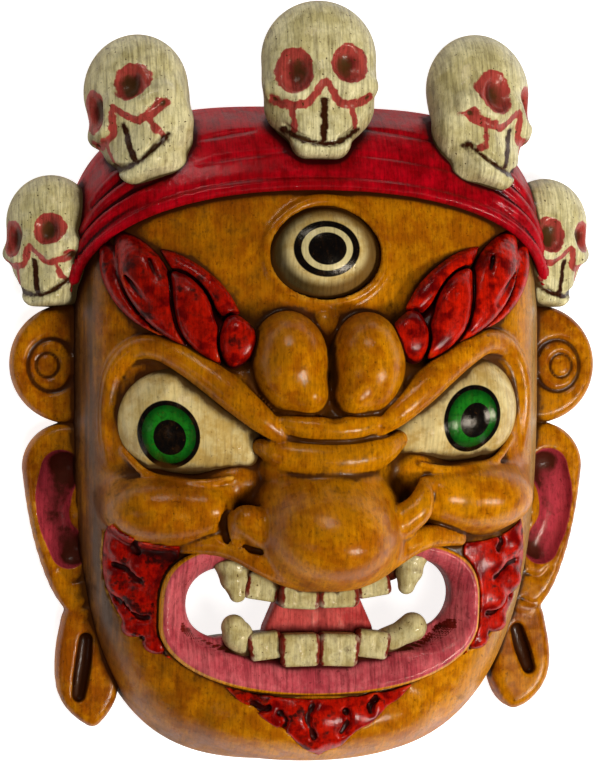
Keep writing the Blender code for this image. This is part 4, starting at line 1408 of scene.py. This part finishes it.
def ochre_layers(paint, colour):
    """Painted shade on the left in blotches, darker over the brows, a painted shadow line under the band,
    dry-brush on the steep sides painted dark on the left and pale on the right as shade and light, a dark red
    mouth deepened as painted shade, bare wood behind.
    """
    streaks = paint.noise(2.4, (1.0, 0.04, 0.04), 4.0, 2.2, 0.6)
    across = paint.position(0)
    blots = paint.noise(30.0, detail=5.0, offset=8.1, rough=0.65)
    # Painted shade: blotchy darkening towards the left side, as if lit from the right.
    left_painted_shade = paint.calc("MULTIPLY", paint.levels(across, 0.06, -0.08, 0.1, 0.7),
                       paint.levels(blots, 0.36, 0.62, 0.25, 1.0))
    colour = paint.mix(left_painted_shade, colour, srgb(104, 52, 6))
    # Darker upwards from the brows over the forehead.
    darker_over_the_brows = paint.levels(paint.position(1), 0.035, 0.062, 0.0, 0.26)
    colour = paint.mix(darker_over_the_brows, colour, srgb(96, 46, 4))
    # Painted shadow: a thin dark line just under the hem of the band.
    colour = paint.mix(paint.levels(paint.number("hem_shadow_line"), 3.2, 1.4, 0.0, 0.9), colour, srgb(30, 17, 8))
    side = paint.calc("MULTIPLY", paint.number("flank"), paint.levels(streaks, 0.36, 0.6, 0.45, 0.95))
    # Painted shade and painted light: the dry-brushed sides are dark on the left and pale on the right.
    side_paint_lit_right_shaded_left = paint.mix(paint.levels(across, -0.03, 0.03), srgb(70, 42, 18), srgb(158, 122, 70))
    colour = paint.mix(side, colour, side_paint_lit_right_shaded_left)
    # Dark red inside the mouth, deepened as painted shade.
    colour = paint.mix(paint.number("mouth_inside_shaded"), colour, srgb(120, 34, 30))
    grain = paint.noise(3.2, (1.0, 0.045, 0.3), 5.0, 5.5, 0.65)
    wood = paint.mix(paint.levels(grain, 0.32, 0.66), srgb(74, 48, 26), srgb(142, 102, 62))
    return paint.mix(paint.number("bare"), colour, wood)


def lip_layers(paint, colour):
    """A thin ochre line on the outer edge and dark red painted shade deep inside the mouth."""
    colour = paint.mix(paint.levels(paint.number("lip_edge"), -1.9, -1.2), colour, OCHRE)
    # Painted shade: the lips turn dark red where they fall deep into the mouth.
    return paint.mix(paint.levels(paint.number("lip_edge"), -24.0, -30.0), colour, srgb(70, 22, 16))


def ear_layers(paint, colour):
    """Dark glaze together with painted shade in the slit and the scroll, rose pink in the long hollow, bare
    wood below.
    """
    # Dark glaze and painted shade in the cut of the slit and the rings of the scroll.
    colour = paint.mix(paint.levels(paint.number("slit_edge"), 0.8, -0.8), colour, srgb(36, 20, 10))
    scroll = paint.levels(paint.number("scroll_edge"), -0.2, -1.3, 0.0, 0.85)
    colour = paint.mix(scroll, colour, srgb(46, 25, 10))
    pink = paint.levels(paint.number("hollow_edge"), 0.7, 0.1)
    colour = paint.mix(pink, colour, srgb(176, 58, 68))
    return paint.mix(paint.levels(paint.number("bare"), 0.4, 0.6), colour, srgb(120, 84, 50))


def bone_layers(paint, colour):
    """Dusty red sockets that darken inwards, a red line over the teeth, painted shade along the jaw crease,
    brown sides.
    """
    red = srgb(166, 66, 58)
    shade = paint.levels(paint.number("steep"), 0.25, 1.0, 0.0, 0.6)
    colour = paint.mix(shade, colour, srgb(96, 72, 40))
    uneven = paint.levels(paint.noise(4.0, detail=3.0, offset=6.6), 0.3, 0.7, -0.5, 0.5)
    line = paint.calc("ADD", paint.number("red_line"), uneven)
    colour = paint.mix(paint.levels(line, 2.1, 1.4), colour, red)
    # Painted shade: a dark band along the step between the upper jaw and the chin.
    jaw = paint.calc("ADD", paint.number("jaw_crease_shade"), uneven)
    colour = paint.mix(paint.levels(jaw, 2.0, 0.6), colour, srgb(52, 24, 12))
    socket = paint.calc("ADD", paint.number("socket"), uneven)
    colour = paint.mix(paint.levels(socket, 0.9, 0.2), colour, red)
    return paint.mix(paint.levels(socket, -3.0, -7.0, 0.0, 0.8), colour, srgb(70, 18, 16))


def eye_layers(paint, colour):
    """Green irises with black rim and pupil; on the forehead eye a ring, a pupil and a painted shadow
    outside, darker on the left.
    """
    iris = paint.number("iris")
    rays = paint.noise(2.2, detail=4.0, offset=8.8, rough=0.7)
    green = paint.mix(paint.levels(iris, 8.2, 13.0), srgb(28, 108, 28), srgb(8, 66, 18))
    green = paint.mix(paint.levels(rays, 0.48, 0.62, 0.0, 0.5), green, srgb(6, 52, 16))
    colour = paint.mix(paint.levels(iris, 15.4, 14.9), colour, BLACK)
    colour = paint.mix(paint.levels(iris, 13.2, 12.7), colour, green)
    colour = paint.mix(paint.levels(paint.number("pupil"), 8.1, 7.7), colour, BLACK)
    ring = paint.number("third_iris")
    # Painted shadow round the ball of the forehead eye, darkest on the left, where the ball shades its
    # hollow.
    outside = paint.calc("MULTIPLY", paint.levels(ring, 1.03, 1.42, 0.0, 0.95), paint.levels(ring, 4.0, 2.5))
    third_eye_painted_shadow = paint.mix(paint.levels(paint.position(0), -0.012, 0.012), srgb(50, 38, 18), srgb(104, 74, 34))
    colour = paint.mix(outside, colour, third_eye_painted_shadow)
    for outer, inner, shade in ((1.03, 0.99, BLACK), (0.80, 0.77, srgb(196, 180, 128)), (0.60, 0.57, BLACK)):
        colour = paint.mix(paint.levels(ring, outer, inner), colour, shade)
    return colour


def tooth_layers(paint, colour):
    """A red-brown line down each side, where one tooth meets the next."""
    uneven = paint.levels(paint.noise(3.0, detail=3.0, offset=2.9), 0.3, 0.7, -0.5, 0.5)
    side = paint.calc("ADD", paint.number("from_middle"), uneven)
    return paint.mix(paint.levels(side, 6.9, 7.9), colour, srgb(112, 36, 26))


RED_SHEEN = (1.0, 0.6, 0.5, 1.0)
WORN_AND_LIT_OCHRE = (222, 160, 50)
RECIPES = {
    "painted_wood": ("ochre_under_varnish", (208, 132, 4), (166, 92, 2), (50, 23, 3), WORN_AND_LIT_OCHRE,
                     ochre_layers, {"streak": 0.28, "grit": 0.42, "mottle": 0.42}),
    "ear_ochre": ("ochre_and_rose_ears", (194, 120, 4), (140, 72, 4), (50, 23, 3), WORN_AND_LIT_OCHRE, ear_layers,
                  {"streak": 0.28, "grit": 0.42, "mottle": 0.42}),
    "band_crimson": ("crimson_band", (178, 0, 26), (134, 0, 16), (34, 2, 5), (196, 26, 44), None,
                     {"streak": 0.4, "gloss": 0.3, "specks": 0.15, "glaze_and_shade_amount": 0.95,
                      "sheen": (1.0, 0.35, 0.35, 1.0)}),
    "brow_red": ("orange_red_brows", (206, 30, 2), (98, 3, 3), (20, 3, 2), (222, 74, 20), None,
                 {"streak": 0.4, "gloss": 0.2, "specks": 0.2, "glaze_and_shade_amount": 1.5, "cloud_size": 13.0,
                  "mottle": 0.35, "sheen": RED_SHEEN, "left_shade": 0.5}),
    "flame_red": ("flame_beard", (198, 28, 2), (106, 4, 3), (16, 3, 3), (214, 60, 20), None,
                  {"streak": 0.3, "gloss": 0.2, "specks": 0.2, "glaze_and_shade_amount": 1.6, "cloud_size": 10.0,
                   "mottle": 0.6, "sheen": RED_SHEEN, "left_shade": 0.35}),
    "bone_cream": ("bone_cream", (226, 214, 162), (192, 178, 122), (64, 44, 20), (240, 232, 198), bone_layers,
                   {"streak": 0.5, "cloud_size": 20.0, "specks": 0.9, "mottle": 0.1}),
    "tooth_cream": ("tooth_cream", (204, 190, 138), (170, 152, 98), (70, 40, 18), (222, 210, 172),
                    tooth_layers,
                    {"streak": 0.3, "cloud_size": 9.0, "specks": 0.8, "glaze_and_shade_amount": 1.2, "mottle": 0.35}),
    "eye_ivory": ("ivory_eyes", (214, 192, 132), (180, 148, 82), (70, 44, 18), (226, 212, 168), eye_layers,
                  {"streak": 0.3, "gloss": 0.16, "cloud_size": 22.0, "specks": 0.4, "mottle": 0.05,
                   "grit": 0.1}),
    "lip_pink": ("rose_lips", (204, 94, 98), (174, 64, 72), (54, 12, 12), (206, 112, 110), lip_layers,
                 {"streak": 0.5, "glaze_and_shade_amount": 0.6}),
    "tongue_pink": ("tongue_rose", (204, 84, 78), (170, 56, 54), (70, 18, 14), (214, 124, 112), None,
                    {"streak": 0.4, "glaze_and_shade_amount": 0.35}),
}
PAINTS = {}
for finish, (name, light, mid, glaze_and_shade_colour, wear_and_highlight, layers, settings) in RECIPES.items():
    tones = [srgb(*tone) for tone in (light, mid, glaze_and_shade_colour, wear_and_highlight)]
    PAINTS[finish] = brushed_paint(name, *tones, layers, **settings)
print("paints", len(PAINTS))

# %% [markdown]
# ## What the paint has to know
# Painted borders follow the carving: the edge of the lips, the hollow of an ear, the
# socket of a skull. The distance to each border is worked out at every vertex with the
# same functions that carved it, so the colour changes exactly where the knife did.

# %% Borders and irises
IRISES = {-1: (-76.0, -24.8), 1: (71.6, -17.4)}
PUPIL_OFFSETS = {-1: (0.3, -1.4), 1: (1.4, -0.8)}


def flat_distance(chain, x, y):
    """Distance outside a roll of x, y, radius, looked at from the front."""
    return roll_of([(px, py, 0.0, radius) for px, py, radius in chain])[2](x, y, np.zeros(len(x)))


def mark_face():
    """On the shell: bare wood, the painted shadow line under the band, the steep sides, the inside of the
    mouth that gets painted shade.
    """
    piece = pieces["face_shell"]
    x, y, z = spots_of(piece).T
    inner = dome(1.5 - WALL, HEAD_DEPTH - FRONT_WALL + 2.0)[2](x, y, z)
    behind = np.clip(0.5 - inner / 2.0, 0.0, 1.0) * (z < 60.0)
    mark(piece, "bare", np.maximum(behind, np.clip(1.5 - z, 0.0, 1.0)))
    mark(piece, "hem_shadow_line", np.abs(band_edge(x) - y - 0.5))
    flank = np.clip((head_out(x, y) - 0.885) / 0.05, 0.0, 1.0)
    mark(piece, "flank", flank * np.clip((y + 145.0) / 30.0, 0.0, 1.0))
    within = (mouth_edge(x, y) < -1.5) & (z < lip_top(x, y) + 16.0) & (z < 70.0)
    mark(piece, "mouth_inside_shaded", within)


def mark_ear(piece, side):
    """On an ear: the long hollow, the slit of the lobe, the scroll and the bare back."""
    x, y, z = spots_of(piece).T
    x = np.abs(x)
    mark(piece, "hollow_edge", ear_hollow(x, y) + np.where(z > 12.0, 0.0, 9.0))
    mark(piece, "slit_edge", np.where(z > 10.0, flat_distance(LOBE_SLIT[side], x, y), 9.0))
    curls = [flat_distance([(px, py, radius) for px, py, _, radius in curl], x, y) for curl in ear_scroll()]
    mark(piece, "scroll_edge", np.where(z > 10.0, np.minimum(*curls), 9.0))
    mark(piece, "bare", np.clip(1.0 - z, 0.0, 1.0))


def mark_eyes():
    """On the eyeballs: distance from the middle of each iris and pupil."""
    piece = pieces["eyeballs"]
    x, y, z = spots_of(piece).T
    for name, moved in (("iris", {-1: (0.0, 0.0), 1: (0.0, 0.0)}), ("pupil", PUPIL_OFFSETS)):
        near = np.full(len(x), 99.0)
        for side, (iris_x, iris_y) in IRISES.items():
            across = x - iris_x - moved[side][0]
            along = y - iris_y - moved[side][1]
            near = np.minimum(near, np.hypot(1.04 * across - 0.10 * side * along, 0.93 * along))
        mark(piece, name, np.where(y < 30.0, near, 99.0))
    ring = np.hypot((x - THIRD_IRIS[0]) / THIRD_IRIS_HALF[0], (y - THIRD_IRIS[1]) / THIRD_IRIS_HALF[1])
    mark(piece, "third_iris", np.where(y > 30.0, ring, 9.0))


def mark_skull(piece):
    """On the small skull: the red line, the painted shade of the jaw crease and the sockets, in the skull's
    own space.
    """
    x, y, z = spots_of(piece, 0.0).T
    front = z > 2.0
    line = flat_distance([(px, py, 0.0) for px, py, _ in smooth_path(SKULL_LINE, 3)], x, y)
    for divider in SKULL_DIVIDERS:
        line = np.minimum(line, flat_distance([(px, py, -0.5) for px, py, _ in divider], x, y))
    jaw = flat_distance([(px, py, 0.0) for px, py, _ in smooth_path(SKULL_CREASE, 3)], x, y)
    jaw = np.minimum(jaw, flat_distance([(px, py, 0.4) for px, py, _ in SKULL_DIVIDERS[1]], x, y))
    socket = np.full(len(x), 9.0)
    for socket_x, socket_y, wide, tall in SOCKETS:
        hole = ball((socket_x, socket_y, 0.0), (wide, tall, 1.0))[2](x, y, np.zeros(len(x)))
        socket = np.minimum(socket, hole)
    for name, distance in (("red_line", line), ("jaw_crease_shade", jaw), ("socket", socket)):
        mark(piece, name, np.where(front, distance, 9.0))


mark(pieces["lips"], "lip_edge", mouth_edge(*spots_of(pieces["lips"]).T[:2]))
mark_face()
mark_ear(pieces["ear_left"], -1)
mark_ear(pieces["ear_right"], 1)
mark_eyes()
one_skull = cast(skull, "one_skull", 0.0)
mark_crease(one_skull, skull, 0.0)
mark_skull(one_skull)
one_tooth = cast(tooth, "one_tooth", 0.0)
mark_crease(one_tooth, tooth, 0.0)
mark(one_tooth, "from_middle", np.abs(spots_of(one_tooth, 0.0)[:, 0]))
crown = [(x, y, z, turned(out, over, back), size) for x, y, z, out, over, back, size in SKULLS]
rows = [(x, y, z, lean(turn), size) for x, y, z, turn, size in TEETH]
pieces["skull_crown"] = repeat_carving("skull_crown", one_skull, crown, PAINTS["bone_cream"], 0.0, CROWN_SEED)
pieces["teeth"] = repeat_carving("teeth", one_tooth, rows, PAINTS["tooth_cream"], TOOTH_TILT, TOOTH_SEED)
for name in ("skull_crown", "teeth"):
    mark_neighbours(pieces[name])
print("faces", {name: len(pieces[name].data.polygons) for name in ("skull_crown", "teeth")})

# %% [markdown]
# ## Hand the pieces over
# Each piece gets its finish and the body it rides on. Then the triangles of every piece
# are counted and printed.

# %% Finishes and hand-over
FINISH = {"face_shell": ("painted_wood", "painted_wood"), "lips": ("lip_pink", "lip_pink"),
          "beard": ("flame_red", "flame_red"), "headband": ("band_crimson", "band_crimson"),
          "brows": ("brow_red", "brow_red"), "eyeballs": ("eye_ivory", "eye_ivory"),
          "fangs": ("tooth_cream", "bone_cream"), "tongue": ("tongue_pink", "lip_pink"),
          "ear_left": ("ear_ochre", "painted_wood"), "ear_right": ("ear_ochre", "painted_wood"),
          "skull_crown": ("bone_cream", "bone_cream"), "teeth": ("tooth_cream", "bone_cream")}
for name, (paint, slot) in FINISH.items():
    piece = pieces[name]
    if not piece.data.materials or piece.data.materials[0] is None:
        piece.data.materials.clear()
        piece.data.materials.append(PAINTS[paint])
    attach(piece, "root")
    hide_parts("carved_mask")
triangles = {}
for name, piece in pieces.items():
    piece.data.calc_loop_triangles()
    triangles[name] = len(piece.data.loop_triangles)
print("triangles", triangles, "in all", sum(triangles.values()))
